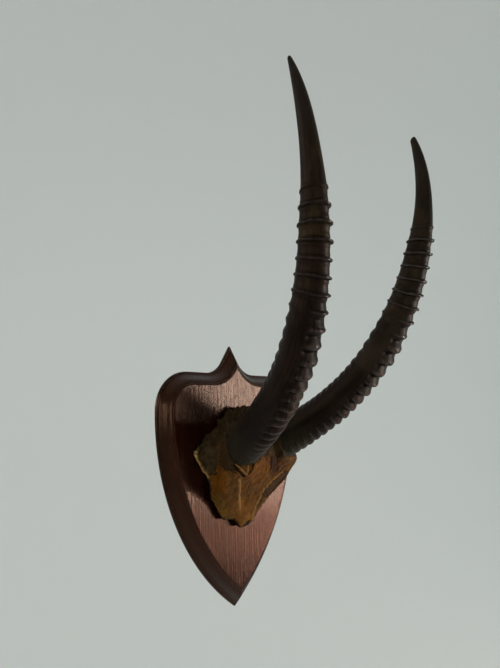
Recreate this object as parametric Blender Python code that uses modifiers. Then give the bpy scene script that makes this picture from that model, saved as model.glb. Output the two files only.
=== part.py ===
"""A pair of ringed antelope horns on their skull cap, on a moulded wooden shield.

Metres, +Z up. The shield's flat back lies in the plane Y = 0 and its front faces -Y.
The origin is the middle of that back, halfway between the peak and the bottom tip.
"""

import math

import bmesh
import bpy
from mathutils import Matrix, Vector

# ---------------------------------------------------------------- driving dimensions
# Shield
SHIELD_HEIGHT = 0.450
SHIELD_HALF_WIDTH = 0.168
SHIELD_THICKNESS = 0.023
TOP_EDGE_Z = 0.174
PEAK_FLANK_ANGLE = math.radians(56)
PEAK_FOOT_RADIUS = 0.046
CORNER_RADIUS = 0.065
SIDE_CENTRE_Z = 0.102
MOULDING_WIDTH = 0.0215
EDGE_HEIGHT = 0.0045
FILLET_WIDTH = 0.0015
FACE_STEP = 0.0010
ROUND_FULLNESS = 1.25
PEAK_STEPS, CORNER_STEPS, SIDE_STEPS, MOULDING_STEPS = 6, 8, 14, 5

# Horns, along the middle line from the bone to the tip
HORN_LENGTH = 0.612
WORN_TIP = {"horn_left": 0.0, "horn_right": 0.014}
HORN_BASE = Vector((0.0542, -0.0949, 0.0582))
RISE_ANGLES = [math.radians(a) for a in (26.7, 44.2, 66.6, 84.2, 106.8)]
SPLAY_ANGLES = [math.radians(a) for a in (17.7, 13.1, 11.3, 8.7, 1.4)]
CREST_RADII = (0.0340, 0.0300, 0.0263, 0.0186, 0.0024)
FLATNESS_BASE, FLATNESS_TIP = 1.045, 0.918
RING_TILT_BASE, RING_TILT_TIP = 0.418, -0.294
RING_SKEW = -0.18
RING_LEAN = {"horn_left": -0.13, "horn_right": 0.0}
FIRST_RING = 0.4368
WIDE_SPACING = 0.0219
CLOSE_SPACING, CLOSE_GROWTH = 0.0120, 0.028
SPACING_CHANGE = (0.17, 0.23)
GROOVE_FRONT, GROOVE_BACK = 0.0042, 0.0014
GROOVE_FRONT_FOCUS = 1.4
GROOVE_SHARE_AT_BASE, GROOVE_FULL_FROM = 0.3, 0.1
RINGS_FADE_BEFORE, RINGS_FADE_AFTER = 0.04, 0.01
SLIMMING, SLIM_FADE = 0.0036, (0.46, 0.60)
SHOULDER_PLACE_WIDE, SHOULDER_PLACE_CLOSE = 0.15, 0.28
SHOULDER_HEIGHT_WIDE, SHOULDER_HEIGHT_CLOSE = 0.18, 0.70
FOOT_RING_HEIGHT, TOP_RING_HEIGHT = 0.4, 0.35
TIP_ROUNDING, TIP_LOOPS = 0.004, (0.55, 0.9)
SMOOTH_LOOPS = 7
HORN_SIDES = 16
LINE_STEPS = 240

# Where along the horn, as a share of its length, the tip hooks in and the rings lean and skew
TIP_HOOK = {"horn_left": 0.0, "horn_right": math.radians(5.5)}
HOOK_STRETCH, LEAN_STRETCH, SKEW_STRETCH = (0.7, 0.95), (0.2, 0.5), (0.1, 0.4)

# Skull cap
PAIR_TILT = math.radians(3.8)
GAP = 0.0003
PEDICLE_RADIUS = 0.0345
PEDICLE_ROOT_RADIUS = 0.0460
PEDICLE_DEPTH = 0.062
PEDICLE_OVERSHOOT = 0.02
SEAT_CUT_RADIUS, SEAT_CUT_LENGTH = 0.044, 0.08
BACK_CUT_WIDTH, BACK_CUT_DEPTH = 0.4, 0.06
CUTTER_SIDES = 24
BONE_BACK = SHIELD_THICKNESS + GAP

SMOOTH_BELOW = math.radians(35)

# Looks: name, colour, roughness
WOOD = ("polished mahogany", (0.105, 0.030, 0.018, 1), 0.34)
BONE = ("old bone", (0.300, 0.190, 0.070, 1), 0.75)
HORN = ("dark horn", (0.030, 0.022, 0.018, 1), 0.42)


# ---------------------------------------------------------------- small helpers
def smoothstep(low, high, value):
    t = min(1.0, max(0.0, (value - low) / (high - low)))
    return t * t * (3 - 2 * t)


def through_five(values, u):
    """The smooth curve through five values set at 0, 1/4, 1/2, 3/4 and 1."""
    total = 0.0
    for i, value in enumerate(values):
        weight = 1.0
        for j in range(5):
            if j != i:
                weight *= (4 * u - j) / (i - j)
        total += value * weight
    return total


def material(look):
    name, colour, roughness = look
    found = bpy.data.materials.get(name)
    if found:
        return found
    made = bpy.data.materials.new(name)
    made.use_nodes = True
    shader = made.node_tree.nodes["Principled BSDF"]
    shader.inputs["Base Color"].default_value = colour
    shader.inputs["Roughness"].default_value = roughness
    shader.inputs["Metallic"].default_value = 0.0
    return made


def collection(name):
    made = bpy.data.collections.new(name)
    bpy.context.scene.collection.children.link(made)
    return made


def mesh_object(name, rows, look, where):
    """A closed loft: each row is a loop of points, and the first and last rows are capped."""
    bm = bmesh.new()
    loops = [[bm.verts.new(point) for point in row] for row in rows]
    count = len(rows[0])
    for lower, upper in zip(loops, loops[1:]):
        for i in range(count):
            j = (i + 1) % count
            bm.faces.new((lower[i], lower[j], upper[j], upper[i]))
    bm.faces.new(loops[0][::-1])
    bm.faces.new(loops[-1])
    bmesh.ops.recalc_face_normals(bm, faces=bm.faces)
    mesh = bpy.data.meshes.new(name)
    bm.to_mesh(mesh)
    bm.free()
    mesh.materials.append(material(look))
    mesh.shade_smooth()
    mesh.set_sharp_from_angle(angle=SMOOTH_BELOW)
    made = bpy.data.objects.new(name, mesh)
    where.objects.link(made)
    return made


# ---------------------------------------------------------------- shield
FLANK_NORMAL = (math.sin(PEAK_FLANK_ANGLE), math.cos(PEAK_FLANK_ANGLE))
FOOT_Z = TOP_EDGE_Z + PEAK_FOOT_RADIUS
FOOT_X = (PEAK_FOOT_RADIUS - (FOOT_Z - SHIELD_HEIGHT / 2) * FLANK_NORMAL[1]) / FLANK_NORMAL[0]
TIP_DROP = SIDE_CENTRE_Z + SHIELD_HEIGHT / 2
SIDE_CENTRE_X = (SHIELD_HALF_WIDTH**2 - TIP_DROP**2) / (2 * SHIELD_HALF_WIDTH)
SIDE_RADIUS = SHIELD_HALF_WIDTH - SIDE_CENTRE_X


def shield_half(inset):
    """(x, z) of the right half from the peak to the bottom tip, moved inwards by inset."""
    foot_radius = PEAK_FOOT_RADIUS + inset
    peak_z = FOOT_Z + (FOOT_X * FLANK_NORMAL[0] - foot_radius) / FLANK_NORMAL[1]
    points = [(0.0, peak_z)]
    for i in range(PEAK_STEPS + 1):
        turn = PEAK_FLANK_ANGLE * (1 - i / PEAK_STEPS)
        points.append((FOOT_X - foot_radius * math.sin(turn), FOOT_Z - foot_radius * math.cos(turn)))
    corner = CORNER_RADIUS - inset
    for i in range(CORNER_STEPS + 1):
        turn = math.pi / 2 * (1 - i / CORNER_STEPS)
        points.append(
            (
                SHIELD_HALF_WIDTH - CORNER_RADIUS + corner * math.cos(turn),
                TOP_EDGE_Z - CORNER_RADIUS + corner * math.sin(turn),
            )
        )
    side = SIDE_RADIUS - inset
    sweep = math.acos(-SIDE_CENTRE_X / side)
    for i in range(SIDE_STEPS + 1):
        turn = -sweep * i / SIDE_STEPS
        points.append((SIDE_CENTRE_X + side * math.cos(turn), SIDE_CENTRE_Z + side * math.sin(turn)))
    points[-1] = (0.0, points[-1][1])
    return points


def shield_profile():
    """(inset, depth from the wall) across the moulded edge, from the back to the face."""
    top = SHIELD_THICKNESS - FACE_STEP
    foot = EDGE_HEIGHT + FILLET_WIDTH
    profile = [(0.0, 0.0), (0.0, EDGE_HEIGHT), (FILLET_WIDTH, foot)]
    for i in range(1, MOULDING_STEPS + 1):
        t = i / MOULDING_STEPS
        inset = FILLET_WIDTH + (MOULDING_WIDTH - 2 * FILLET_WIDTH) * t
        profile.append((inset, foot + (top - foot) * math.sin(math.pi / 2 * t**ROUND_FULLNESS)))
    profile.append((MOULDING_WIDTH - FACE_STEP, top))
    profile.append((MOULDING_WIDTH, SHIELD_THICKNESS))
    return profile


def build_shield(where):
    rows = []
    for inset, depth in shield_profile():
        half = shield_half(inset)
        loop = half + [(-x, z) for x, z in half[-2:0:-1]]
        rows.append([(x, -depth, z) for x, z in loop])
    return mesh_object("shield", rows, WOOD, where)


# ---------------------------------------------------------------- horns
def horn_axes(u, hook=0.0):
    """Unit vectors along the horn, towards its hollow side, and across, for the +X horn."""
    rise = through_five(RISE_ANGLES, u)
    splay = through_five(SPLAY_ANGLES, u) - hook * smoothstep(*HOOK_STRETCH, u)
    along = Vector(
        (
            math.sin(splay),
            -math.cos(splay) * math.cos(rise),
            math.cos(splay) * math.sin(rise),
        )
    )
    hollow = Vector((0.0, math.sin(rise), math.cos(rise)))
    hollow = (hollow - along * hollow.dot(along)).normalized()
    return along, hollow, along.cross(hollow)


def horn_line(stations, hook):
    """Points of the middle line at the stations, by short straight steps."""
    step = HORN_LENGTH / LINE_STEPS
    walk, points = HORN_BASE.copy(), [HORN_BASE.copy()]
    for i in range(LINE_STEPS):
        walk = walk + horn_axes((i + 0.5) / LINE_STEPS, hook)[0] * step
        points.append(walk.copy())
    found = []
    for station in stations:
        at = min(LINE_STEPS - 1, int(station / step))
        found.append(points[at].lerp(points[at + 1], station / step - at))
    return found


def ring_spacing(station):
    close = CLOSE_SPACING + CLOSE_GROWTH * station
    blend = smoothstep(*SPACING_CHANGE, station)
    return close * (1 - blend) + WIDE_SPACING * blend


def ring_stations():
    """Crests from the first ring, below the smooth tip, down to the base."""
    rings = [FIRST_RING]
    while rings[-1] > CLOSE_SPACING:
        rings.append(rings[-1] - ring_spacing(rings[-1]))
    return rings[:-1]


def groove_depth(station, front):
    """How far the gaps lie below the crests; front is 1 on the bulging side, 0 on the hollow."""
    depth = GROOVE_BACK + (GROOVE_FRONT - GROOVE_BACK) * front
    grown = smoothstep(0.0, GROOVE_FULL_FROM, station)
    depth *= GROOVE_SHARE_AT_BASE + (1 - GROOVE_SHARE_AT_BASE) * grown
    smooth = SLIMMING * (1 - smoothstep(*SLIM_FADE, station))
    bare = smoothstep(FIRST_RING - RINGS_FADE_BEFORE, FIRST_RING + RINGS_FADE_AFTER, station)
    return depth * (1 - bare) + smooth * bare


def horn_stations(end):
    """(distance from the base, height of the ring there from 0 in a gap to 1 on a crest)."""
    rings = ring_stations()[::-1]
    found = [(0.0, FOOT_RING_HEIGHT)]
    last = rings[-1]
    for ring, following in zip(rings, rings[1:] + [rings[-1] + WIDE_SPACING]):
        gap = following - ring
        wide = smoothstep(*SPACING_CHANGE, ring)
        place = SHOULDER_PLACE_CLOSE + (SHOULDER_PLACE_WIDE - SHOULDER_PLACE_CLOSE) * wide
        height = SHOULDER_HEIGHT_CLOSE + (SHOULDER_HEIGHT_WIDE - SHOULDER_HEIGHT_CLOSE) * wide
        crest = TOP_RING_HEIGHT if ring == last else 1.0
        found += [(ring, crest), (ring + place * gap, height * crest), (ring + gap / 2, 0.0)]
        if ring != last:
            found.append((following - place * gap, height))
    smooth = found[-1][0]
    for i in range(1, SMOOTH_LOOPS + 1):
        found.append((smooth + (end - TIP_ROUNDING - smooth) * i / SMOOTH_LOOPS, 0.0))
    for share in TIP_LOOPS:
        found.append((end - TIP_ROUNDING * (1 - share), 0.0))
    return found


def build_horn(name, side, where):
    end = HORN_LENGTH - WORN_TIP[name]
    stations = horn_stations(end)
    hook = TIP_HOOK[name]
    rows = []
    for (station, height), middle in zip(stations, horn_line([s for s, _ in stations], hook)):
        u = station / HORN_LENGTH
        along, hollow, across = horn_axes(u, hook)
        crest = through_five(CREST_RADII, u)
        past = max(0.0, station - (end - TIP_ROUNDING)) / TIP_ROUNDING
        crest *= math.sqrt(1 - past**2)
        flatness = FLATNESS_BASE + (FLATNESS_TIP - FLATNESS_BASE) * u
        tilt = RING_TILT_BASE + (RING_TILT_TIP - RING_TILT_BASE) * u
        tilt += RING_LEAN[name] * smoothstep(*LEAN_STRETCH, u)
        skew = RING_SKEW * smoothstep(*SKEW_STRETCH, u)
        row = []
        for i in range(HORN_SIDES):
            turn = 2 * math.pi * i / HORN_SIDES
            front = (0.5 - 0.5 * math.cos(turn)) ** GROOVE_FRONT_FOCUS
            radius = crest - groove_depth(station, front) * (1 - height)
            toward = radius * math.cos(turn) / math.sqrt(flatness)
            sideways = radius * math.sin(turn) * math.sqrt(flatness)
            lift = tilt * toward + skew * sideways
            point = middle + hollow * toward + across * sideways + along * lift
            row.append((point.x * side, point.y, point.z))
        rows.append(row)
    return mesh_object(name, rows, HORN, where)


# ---------------------------------------------------------------- skull cap
# Sections across the bone from the nose end up to the back of the head, in millimetres:
# (height, foot, edge, wall, brow, crest, middle), each but the first a (half width, depth).
SKULL_SECTIONS = (
    (-95, (10, 22), (12, 26), (11, 28), (10, 29), (6, 30), (0, 30)),
    (-84, (20, 22), (24, 27), (22, 30), (18, 32), (11, 33), (0, 34)),
    (-68, (33, 22), (41, 28), (37, 32), (28, 36), (16, 38), (0, 39)),
    (-52, (54, 22), (63, 29), (57, 34), (44, 42), (23, 44), (0, 46)),
    (-36, (66, 22), (76, 29), (72, 38), (64, 52), (31, 55), (0, 56)),
    (-20, (70, 22), (81, 29), (78, 42), (80, 63), (42, 66), (0, 67)),
    (-4, (70, 22), (80, 30), (76, 46), (86, 74), (52, 78), (0, 79)),
    (12, (76, 22), (87, 30), (74, 50), (88, 82), (56, 89), (0, 89)),
    (30, (88, 22), (101, 30), (72, 50), (84, 83), (57, 93), (0, 97)),
    (48, (90, 22), (103, 29), (74, 48), (82, 76), (55, 90), (0, 98)),
    (66, (72, 22), (81, 28), (74, 44), (74, 66), (50, 86), (0, 94)),
    (84, (50, 22), (56, 27), (58, 40), (54, 54), (36, 70), (0, 78)),
    (100, (34, 22), (39, 26), (38, 34), (34, 44), (22, 52), (0, 56)),
    (112, (14, 22), (17, 25), (16, 28), (14, 31), (9, 34), (0, 35)),
)
MM = 0.001


# A subdivision surface ends up at this mean of a point and its neighbours, in both directions.
LIMIT_WEIGHTS = ((-1, 1 / 6), (0, 4 / 6), (1, 1 / 6))


def swollen(rows):
    """The cage, each point moved out by what the subdivision surface takes off there."""
    count = len(rows[0])
    grown = [[Vector(point) for point in row] for row in rows]
    for i in range(1, len(rows) - 1):
        for j in range(count):
            limit = Vector((0, 0, 0))
            for di, row_weight in LIMIT_WEIGHTS:
                for dj, point_weight in LIMIT_WEIGHTS:
                    limit += Vector(rows[i + di][(j + dj) % count]) * row_weight * point_weight
            grown[i][j] += grown[i][j] - limit
    return grown


def skull_cage(where):
    rows = []
    for height, *outline in SKULL_SECTIONS:
        foot = outline[0][1]
        left = [(-x, depth) for x, depth in outline[-2::-1]]
        loop = [(0, foot)] + outline + left
        rows.append([(x * MM, -depth * MM, height * MM) for x, depth in loop])
    cage = mesh_object("skull_cap", swollen(rows), BONE, where)
    smooth = cage.modifiers.new("rounded bone", "SUBSURF")
    smooth.levels = smooth.render_levels = 1
    return cage


def seat_direction():
    """Outward normal of the flat seat that the +X horn's rim stands on."""
    along, hollow, _ = horn_axes(0.0)
    return (along - hollow * RING_TILT_BASE).normalized()


def helper_object(name, bm, where):
    """A shape that only cuts or joins, and is never seen."""
    mesh = bpy.data.meshes.new(name)
    bm.to_mesh(mesh)
    bm.free()
    made = bpy.data.objects.new(name, mesh)
    made.hide_render = True
    made.display_type = "WIRE"
    where.objects.link(made)
    return made


def turned_cylinder(name, start, direction, length, radii, where):
    """A cylinder or cone from start along direction."""
    bm = bmesh.new()
    bmesh.ops.create_cone(
        bm, cap_ends=True, segments=CUTTER_SIDES, radius1=radii[0], radius2=radii[1], depth=length
    )
    turn = Vector((0, 0, 1)).rotation_difference(direction).to_matrix().to_4x4()
    bm.transform(Matrix.Translation(start + direction * length / 2) @ turn)
    return helper_object(name, bm, where)


def back_cutter(where):
    """A slab that fills the wall side of the bone's flat back."""
    bm = bmesh.new()
    bmesh.ops.create_cube(bm, size=1.0)
    size = Matrix.Diagonal((BACK_CUT_WIDTH, BACK_CUT_DEPTH, BACK_CUT_WIDTH, 1))
    bm.transform(Matrix.Translation((0, BACK_CUT_DEPTH / 2 - BONE_BACK, 0)) @ size)
    return helper_object("back_cut", bm, where)


def combine(target, other, operation):
    boolean = target.modifiers.new(other.name, "BOOLEAN")
    boolean.object = other
    boolean.operation = operation
    boolean.solver = "EXACT"


def build_skull(where, helpers, frame):
    """The rounded cage with a pedicle under each horn, then cut flat at the seats and the back."""
    skull = skull_cage(where)
    pedicle_length = PEDICLE_DEPTH + PEDICLE_OVERSHOOT
    pedicle_radii = (PEDICLE_ROOT_RADIUS, PEDICLE_RADIUS)
    seat_radii = (SEAT_CUT_RADIUS, SEAT_CUT_RADIUS)
    joined, cut = [], []
    for side, name in ((-1, "left"), (1, "right")):
        flip = Matrix.Diagonal((side, 1, 1))
        base, along, normal = flip @ HORN_BASE, flip @ horn_axes(0.0)[0], flip @ seat_direction()
        root = base - along * PEDICLE_DEPTH
        joined.append(
            turned_cylinder(f"pedicle_{name}", root, along, pedicle_length, pedicle_radii, helpers)
        )
        seat = base - normal * GAP
        cut.append(turned_cylinder(f"seat_{name}", seat, normal, SEAT_CUT_LENGTH, seat_radii, helpers))
    cut.append(back_cutter(helpers))
    for piece in joined:
        combine(skull, piece, "UNION")
    for piece in cut:
        combine(skull, piece, "DIFFERENCE")
    for piece in joined + cut + [skull]:
        piece.parent = frame


# ---------------------------------------------------------------- the whole object
def main():
    for old in list(bpy.data.objects):
        bpy.data.objects.remove(old, do_unlink=True)
    parts = collection("antelope_horns")
    helpers = collection("cutters")
    frame = bpy.data.objects.new("pair_frame", None)
    frame.rotation_euler = (0, -PAIR_TILT, 0)
    parts.objects.link(frame)
    build_shield(parts)
    build_skull(parts, helpers, frame)
    for name, side in (("horn_left", -1), ("horn_right", 1)):
        build_horn(name, side, parts).parent = frame


main()
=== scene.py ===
# %% [markdown]
# # Antelope horns on a wooden shield
#
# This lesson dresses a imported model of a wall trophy: two ringed horns, the cut skull cap that
# they grew on, and a moulded wooden shield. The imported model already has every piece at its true
# size and place, so each cell below makes one finer piece over its plain one, or one finish.
# All sizes are metres, +Z is up and the shield's flat back lies in the plane Y = 0.

# %% Load the frame
import math
import bmesh
import bpy
import numpy as np
from mathutils import Matrix, Vector
from mathutils.bvhtree import BVHTree


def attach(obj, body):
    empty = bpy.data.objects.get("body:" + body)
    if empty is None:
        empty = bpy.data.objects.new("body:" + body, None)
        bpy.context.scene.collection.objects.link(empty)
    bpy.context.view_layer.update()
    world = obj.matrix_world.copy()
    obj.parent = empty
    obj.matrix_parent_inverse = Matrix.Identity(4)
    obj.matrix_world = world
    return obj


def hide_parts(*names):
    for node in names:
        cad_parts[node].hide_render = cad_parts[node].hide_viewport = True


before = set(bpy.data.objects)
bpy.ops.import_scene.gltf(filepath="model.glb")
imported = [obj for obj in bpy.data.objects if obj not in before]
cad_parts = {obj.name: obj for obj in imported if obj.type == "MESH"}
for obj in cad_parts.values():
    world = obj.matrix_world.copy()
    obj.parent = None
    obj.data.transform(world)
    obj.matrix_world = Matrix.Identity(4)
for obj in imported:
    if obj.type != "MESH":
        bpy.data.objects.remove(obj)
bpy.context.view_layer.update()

print("packed nodes:", sorted(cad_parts))

# %% [markdown]
# ## The camera
#
# The photograph was taken from the front left, a little below the middle of the horns, looking
# slightly up. A camera can be given as an eye point and three turns. The focal length is written
# in pixels of the 500 x 668 photograph, because the same numbers then also turn a pixel back into
# a ray, which later cells use to lay marks on the bone.

# %% Camera
PHOTO_WIDTH, PHOTO_HEIGHT = 500, 668
FOCAL_PIXELS = 560
SENSOR = 36
EYE = Vector((-0.72253, -0.72797, 0.09028))
YAW, PITCH, ROLL = math.radians(47.09), math.radians(8.72), math.radians(-1.50)

ahead = Vector(
    (math.sin(YAW) * math.cos(PITCH), math.cos(YAW) * math.cos(PITCH), math.sin(PITCH))
)
level = Vector((math.cos(YAW), -math.sin(YAW), 0))
upright = level.cross(ahead)
right = level * math.cos(ROLL) + upright * math.sin(ROLL)
up = upright * math.cos(ROLL) - level * math.sin(ROLL)

lens = bpy.data.cameras.new("photo_camera")
lens.sensor_width = SENSOR
lens.lens = FOCAL_PIXELS * SENSOR / PHOTO_HEIGHT
camera = bpy.data.objects.new("photo_camera", lens)
camera.matrix_world = Matrix.Translation(EYE) @ Matrix((right, up, -ahead)).transposed().to_4x4()
bpy.context.scene.collection.objects.link(camera)
bpy.context.scene.camera = camera
print("lens", round(lens.lens, 1), "mm")


def ray_through(pixel):
    """Direction from the eye through a pixel of the photograph."""
    across, down = pixel[0] - PHOTO_WIDTH / 2, pixel[1] - PHOTO_HEIGHT / 2
    return (ahead * FOCAL_PIXELS + right * across - up * down).normalized()


# %% [markdown]
# ## Soft studio light
#
# An upright soft light stands to the right, where a window would be. Seen from the camera it is
# the mirror image on the varnish: it gives the wood its pale sheen, and where the skull cap stands
# in its way the board stays dark. A weak low light carries the sheen down to the board's tip, warm
# light comes back from the floor, and three weak lights on the left keep the horns round. Each
# light is placed by its turn from the wall on the right, its height in degrees and its distance
# from the middle of the board. A pale world fills the rest.

# %% Lights
LIGHTS = (
    # name, degrees from the wall on the right, degrees up, distance, width, height, watts, colour
    ("window", 40.6, 2.6, 3.4, 0.45, 1.38, 54, (1.0, 0.94, 0.85)),
    ("side_window", 49.5, 9, 3.4, 0.26, 0.65, 8, (0.98, 1.0, 0.95)),
    ("low_window", 46, -11.0, 3.4, 0.55, 0.50, 4.8, (1.0, 0.66, 0.50)),
    ("warm_bounce", 28, -13, 3.4, 0.26, 0.65, 15, (1.0, 0.52, 0.38)),
    ("front_lamp", 120, 10, 2.6, 1.0, 1.0, 10.0, (1.0, 1.0, 0.91)),
    ("left_lamp", 173, 10, 2.6, 1.0, 1.0, 14.2, (0.96, 1.0, 0.95)),
    ("rim_lamp", 215, 20, 2.6, 1.0, 1.0, 18.6, (1.0, 1.0, 0.94)),
)
LIGHT_AIM = Vector((0, -0.05, 0.05))
WORLD_COLOUR, WORLD_STRENGTH = (1.0, 0.95, 0.91, 1), 0.64


def soft_light(name, turn, height, distance, width, tall, watts, colour):
    lamp = bpy.data.lights.new(name, "AREA")
    lamp.shape = "RECTANGLE"
    lamp.size, lamp.size_y, lamp.energy = width, tall, watts
    lamp.color = colour
    holder = bpy.data.objects.new(name, lamp)
    turn, height = math.radians(turn), math.radians(height)
    level_reach = distance * math.cos(height)
    across, forward = level_reach * math.cos(turn), level_reach * math.sin(turn)
    holder.location = (across, -forward, distance * math.sin(height))
    holder.rotation_euler = (LIGHT_AIM - holder.location).to_track_quat("-Z", "Y").to_euler()
    holder.visible_camera = False
    bpy.context.scene.collection.objects.link(holder)


for light in LIGHTS:
    soft_light(*light)

world = bpy.data.worlds.new("pale studio")
world.use_nodes = True
bpy.context.scene.world = world
sky = world.node_tree.nodes["Background"]
sky.inputs["Color"].default_value = WORLD_COLOUR
sky.inputs["Strength"].default_value = WORLD_STRENGTH
bpy.context.scene.view_settings.view_transform = "Standard"
print(len(LIGHTS), "soft lights and a pale world")

# %% [markdown]
# ## Small helpers for node trees
#
# Geometry Nodes and shaders are both trees of nodes with sockets. Short functions keep the cells
# below readable: one feeds a socket with a value or a link, one adds a node and feeds it, and the
# others do sums with numbers and vectors.

# %% Node helpers


def pick(sockets, name):
    """The socket with this name that is switched on, or the one at this place."""
    if isinstance(name, int):
        return sockets[name]
    return next(s for s in sockets if s.name == name and s.enabled)


def feed(tree, socket, value):
    if isinstance(value, bpy.types.NodeSocket):
        tree.links.new(value, socket)
    else:
        socket.default_value = value


def add(tree, kind, inputs=None, **settings):
    made = tree.nodes.new(kind)
    for name, value in settings.items():
        setattr(made, name, value)
    for name, value in (inputs or {}).items():
        feed(tree, pick(made.inputs, name), value)
    return made


# %% Sums with numbers and vectors


def calc(tree, operation, *values):
    return add(tree, "ShaderNodeMath", dict(enumerate(values)), operation=operation).outputs[0]


def plus(tree, total, *values):
    for value in values:
        total = calc(tree, "ADD", total, value)
    return total


def minus(tree, first, second):
    return calc(tree, "SUBTRACT", first, second)


def times(tree, product, *values):
    for value in values:
        product = calc(tree, "MULTIPLY", product, value)
    return product


def larger(tree, first, second):
    return calc(tree, "MAXIMUM", first, second)


def smaller(tree, first, second):
    return calc(tree, "MINIMUM", first, second)


def vector_calc(tree, operation, *values):
    made = tree.nodes.new("ShaderNodeVectorMath")
    made.operation = operation
    for place, value in enumerate(values):
        scale = operation == "SCALE" and place == 1
        feed(tree, made.inputs["Scale"] if scale else made.inputs[place], value)
    return made.outputs[0]


# %% [markdown]
# ## Helpers for patterns and colours
#
# A finish is noise of a few sizes, sent through ramps and used to mix colours. Each finish below
# gives its noises and its ramps as a table with names, so that its function reads like a recipe.

# %% Pattern helpers


def ramp_between(tree, value, low, high, start=0.0, end=1.0):
    """start at low, end at high, and a smooth step between."""
    step = add(
        tree,
        "ShaderNodeMapRange",
        {"Value": value, "From Min": low, "From Max": high, "To Min": start, "To Max": end},
        interpolation_type="SMOOTHSTEP",
    )
    return pick(step.outputs, "Result")


def ramps(tree, table):
    """A function that sends a value through one ramp of a table, by its name."""
    return lambda name, value: ramp_between(tree, value, *table[name])


def noise(tree, where, scale, detail=3.0, roughness=0.5):
    inputs = {"Vector": where, "Scale": scale, "Detail": detail, "Roughness": roughness}
    return add(tree, "ShaderNodeTexNoise", inputs).outputs[0]


def patterns(tree, where, table):
    """The noises of a table, in its order. A squeeze below 1 makes a noise run long along z."""
    made = []
    for squeeze, scale, detail, roughness in table.values():
        squeezed = add(tree, "ShaderNodeMapping", {"Vector": where, "Scale": (1.0, 1.0, squeeze)})
        made.append(noise(tree, squeezed.outputs[0], scale, detail, roughness))
    return made


# %% Colour and shader helpers


def blend(tree, share, first, second):
    """Mixes two colours."""
    made = add(tree, "ShaderNodeMix", data_type="RGBA")
    feed(tree, made.inputs[0], share)
    feed(tree, pick(made.inputs, "A"), first)
    feed(tree, pick(made.inputs, "B"), second)
    return pick(made.outputs, "Result")


def blend_number(tree, share, first, second):
    made = add(tree, "ShaderNodeMix", {"Factor": share, "A": first, "B": second}, data_type="FLOAT")
    return pick(made.outputs, "Result")


def attribute(tree, name, output="Fac"):
    return add(tree, "ShaderNodeAttribute", attribute_name=name).outputs[output]


def object_places(tree):
    return tree.nodes.new("ShaderNodeTexCoord").outputs["Object"]


def new_material(name):
    made = bpy.data.materials.new(name)
    made.use_nodes = True
    tree = made.node_tree
    return made, tree, tree.nodes["Principled BSDF"]


def finish_with(tree, shader, colour, roughness, relief, bump, constants):
    """Feeds the shader: colour, roughness, a bump of (distance, strength), and its constants."""
    feed(tree, shader.inputs["Base Color"], colour)
    feed(tree, shader.inputs["Roughness"], roughness)
    distance, strength = bump
    bumped = add(tree, "ShaderNodeBump", {"Height": relief, "Distance": distance, "Strength": strength})
    feed(tree, shader.inputs["Normal"], bumped.outputs[0])
    for name, value in constants.items():
        shader.inputs[name].default_value = value


# %% [markdown]
# ## Floor and backdrop
#
# The trophy hangs, so the floor lies well below it and only closes the view. Floor and backdrop
# are one wide bowl with a rounded foot, turned from a single profile, so that no line shows where
# they meet and the object has the same quiet ground from every side.

# %% Floor and backdrop
FLOOR_Z, BOWL_RADIUS, BOWL_FOOT, BOWL_TOP = -1.7, 5.0, 2.4, 6.5
BOWL_SEGMENTS, FOOT_STEPS = 96, 16
PALE_PAINT, PAINT_ROUGHNESS = (0.745, 0.795, 0.800, 1), 0.9


def bowl_profile():
    """(radius, z) from the middle of the floor, round the foot and up the side."""
    line = [(0.0, FLOOR_Z)]
    for i in range(FOOT_STEPS + 1):
        turn = math.pi / 2 * i / FOOT_STEPS
        reach = BOWL_RADIUS - BOWL_FOOT + BOWL_FOOT * math.sin(turn)
        line.append((reach, FLOOR_Z + BOWL_FOOT - BOWL_FOOT * math.cos(turn)))
    return line + [(BOWL_RADIUS, BOWL_TOP)]


def make_stage():
    bm = bmesh.new()
    chain = [bm.verts.new((radius, 0, z)) for radius, z in bowl_profile()]
    edges = [bm.edges.new(pair) for pair in zip(chain, chain[1:])]
    bmesh.ops.spin(
        bm, geom=chain + edges, axis=(0, 0, 1), cent=(0, 0, 0), steps=BOWL_SEGMENTS, angle=math.tau
    )
    bmesh.ops.remove_doubles(bm, verts=bm.verts, dist=0.0001)
    bmesh.ops.recalc_face_normals(bm, faces=bm.faces)
    bowl = bpy.data.meshes.new("pale_bowl")
    bm.to_mesh(bowl)
    bm.free()
    bowl.shade_smooth()
    paint, _, shader = new_material("pale paint")
    shader.inputs["Base Color"].default_value = PALE_PAINT
    shader.inputs["Roughness"].default_value = PAINT_ROUGHNESS
    bowl.materials.append(paint)
    stage = bpy.data.objects.new("pale_bowl", bowl)
    bpy.context.scene.collection.objects.link(stage)


make_stage()
print("floor at", FLOOR_Z)

# %% [markdown]
# ## The arch of a horn
#
# A horn sheath is a long cone bent in a smooth arch, with a crest wherever growth paused. Its shape
# follows a rule, so it is made by rule: first a spine, a chain of points down the middle, then a
# skin wrapped round it. Five angles of rise and five of splay, each joined by a smooth curve, give
# the arch. The right horn's tip is worn a little shorter than the left one's, and hooks more.

# %% Arch
HORN_LENGTH = 0.612
WORN_TIP = {"horn_left": 0.0, "horn_right": 0.014}
TIP_HOOK = {"horn_left": 0.0, "horn_right": math.radians(5.5)}
HOOK_CHANGE = (0.70, 0.95)
HORN_BASE = Vector((0.0542, -0.0949, 0.0582))
RISE_ANGLES = [math.radians(a) for a in (26.7, 44.2, 66.6, 84.2, 106.8)]
SPLAY_ANGLES = [math.radians(a) for a in (17.7, 13.1, 11.3, 8.7, 1.4)]


def smoothstep(low, high, value):
    t = min(1.0, max(0.0, (value - low) / (high - low)))
    return t * t * (3 - 2 * t)


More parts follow.
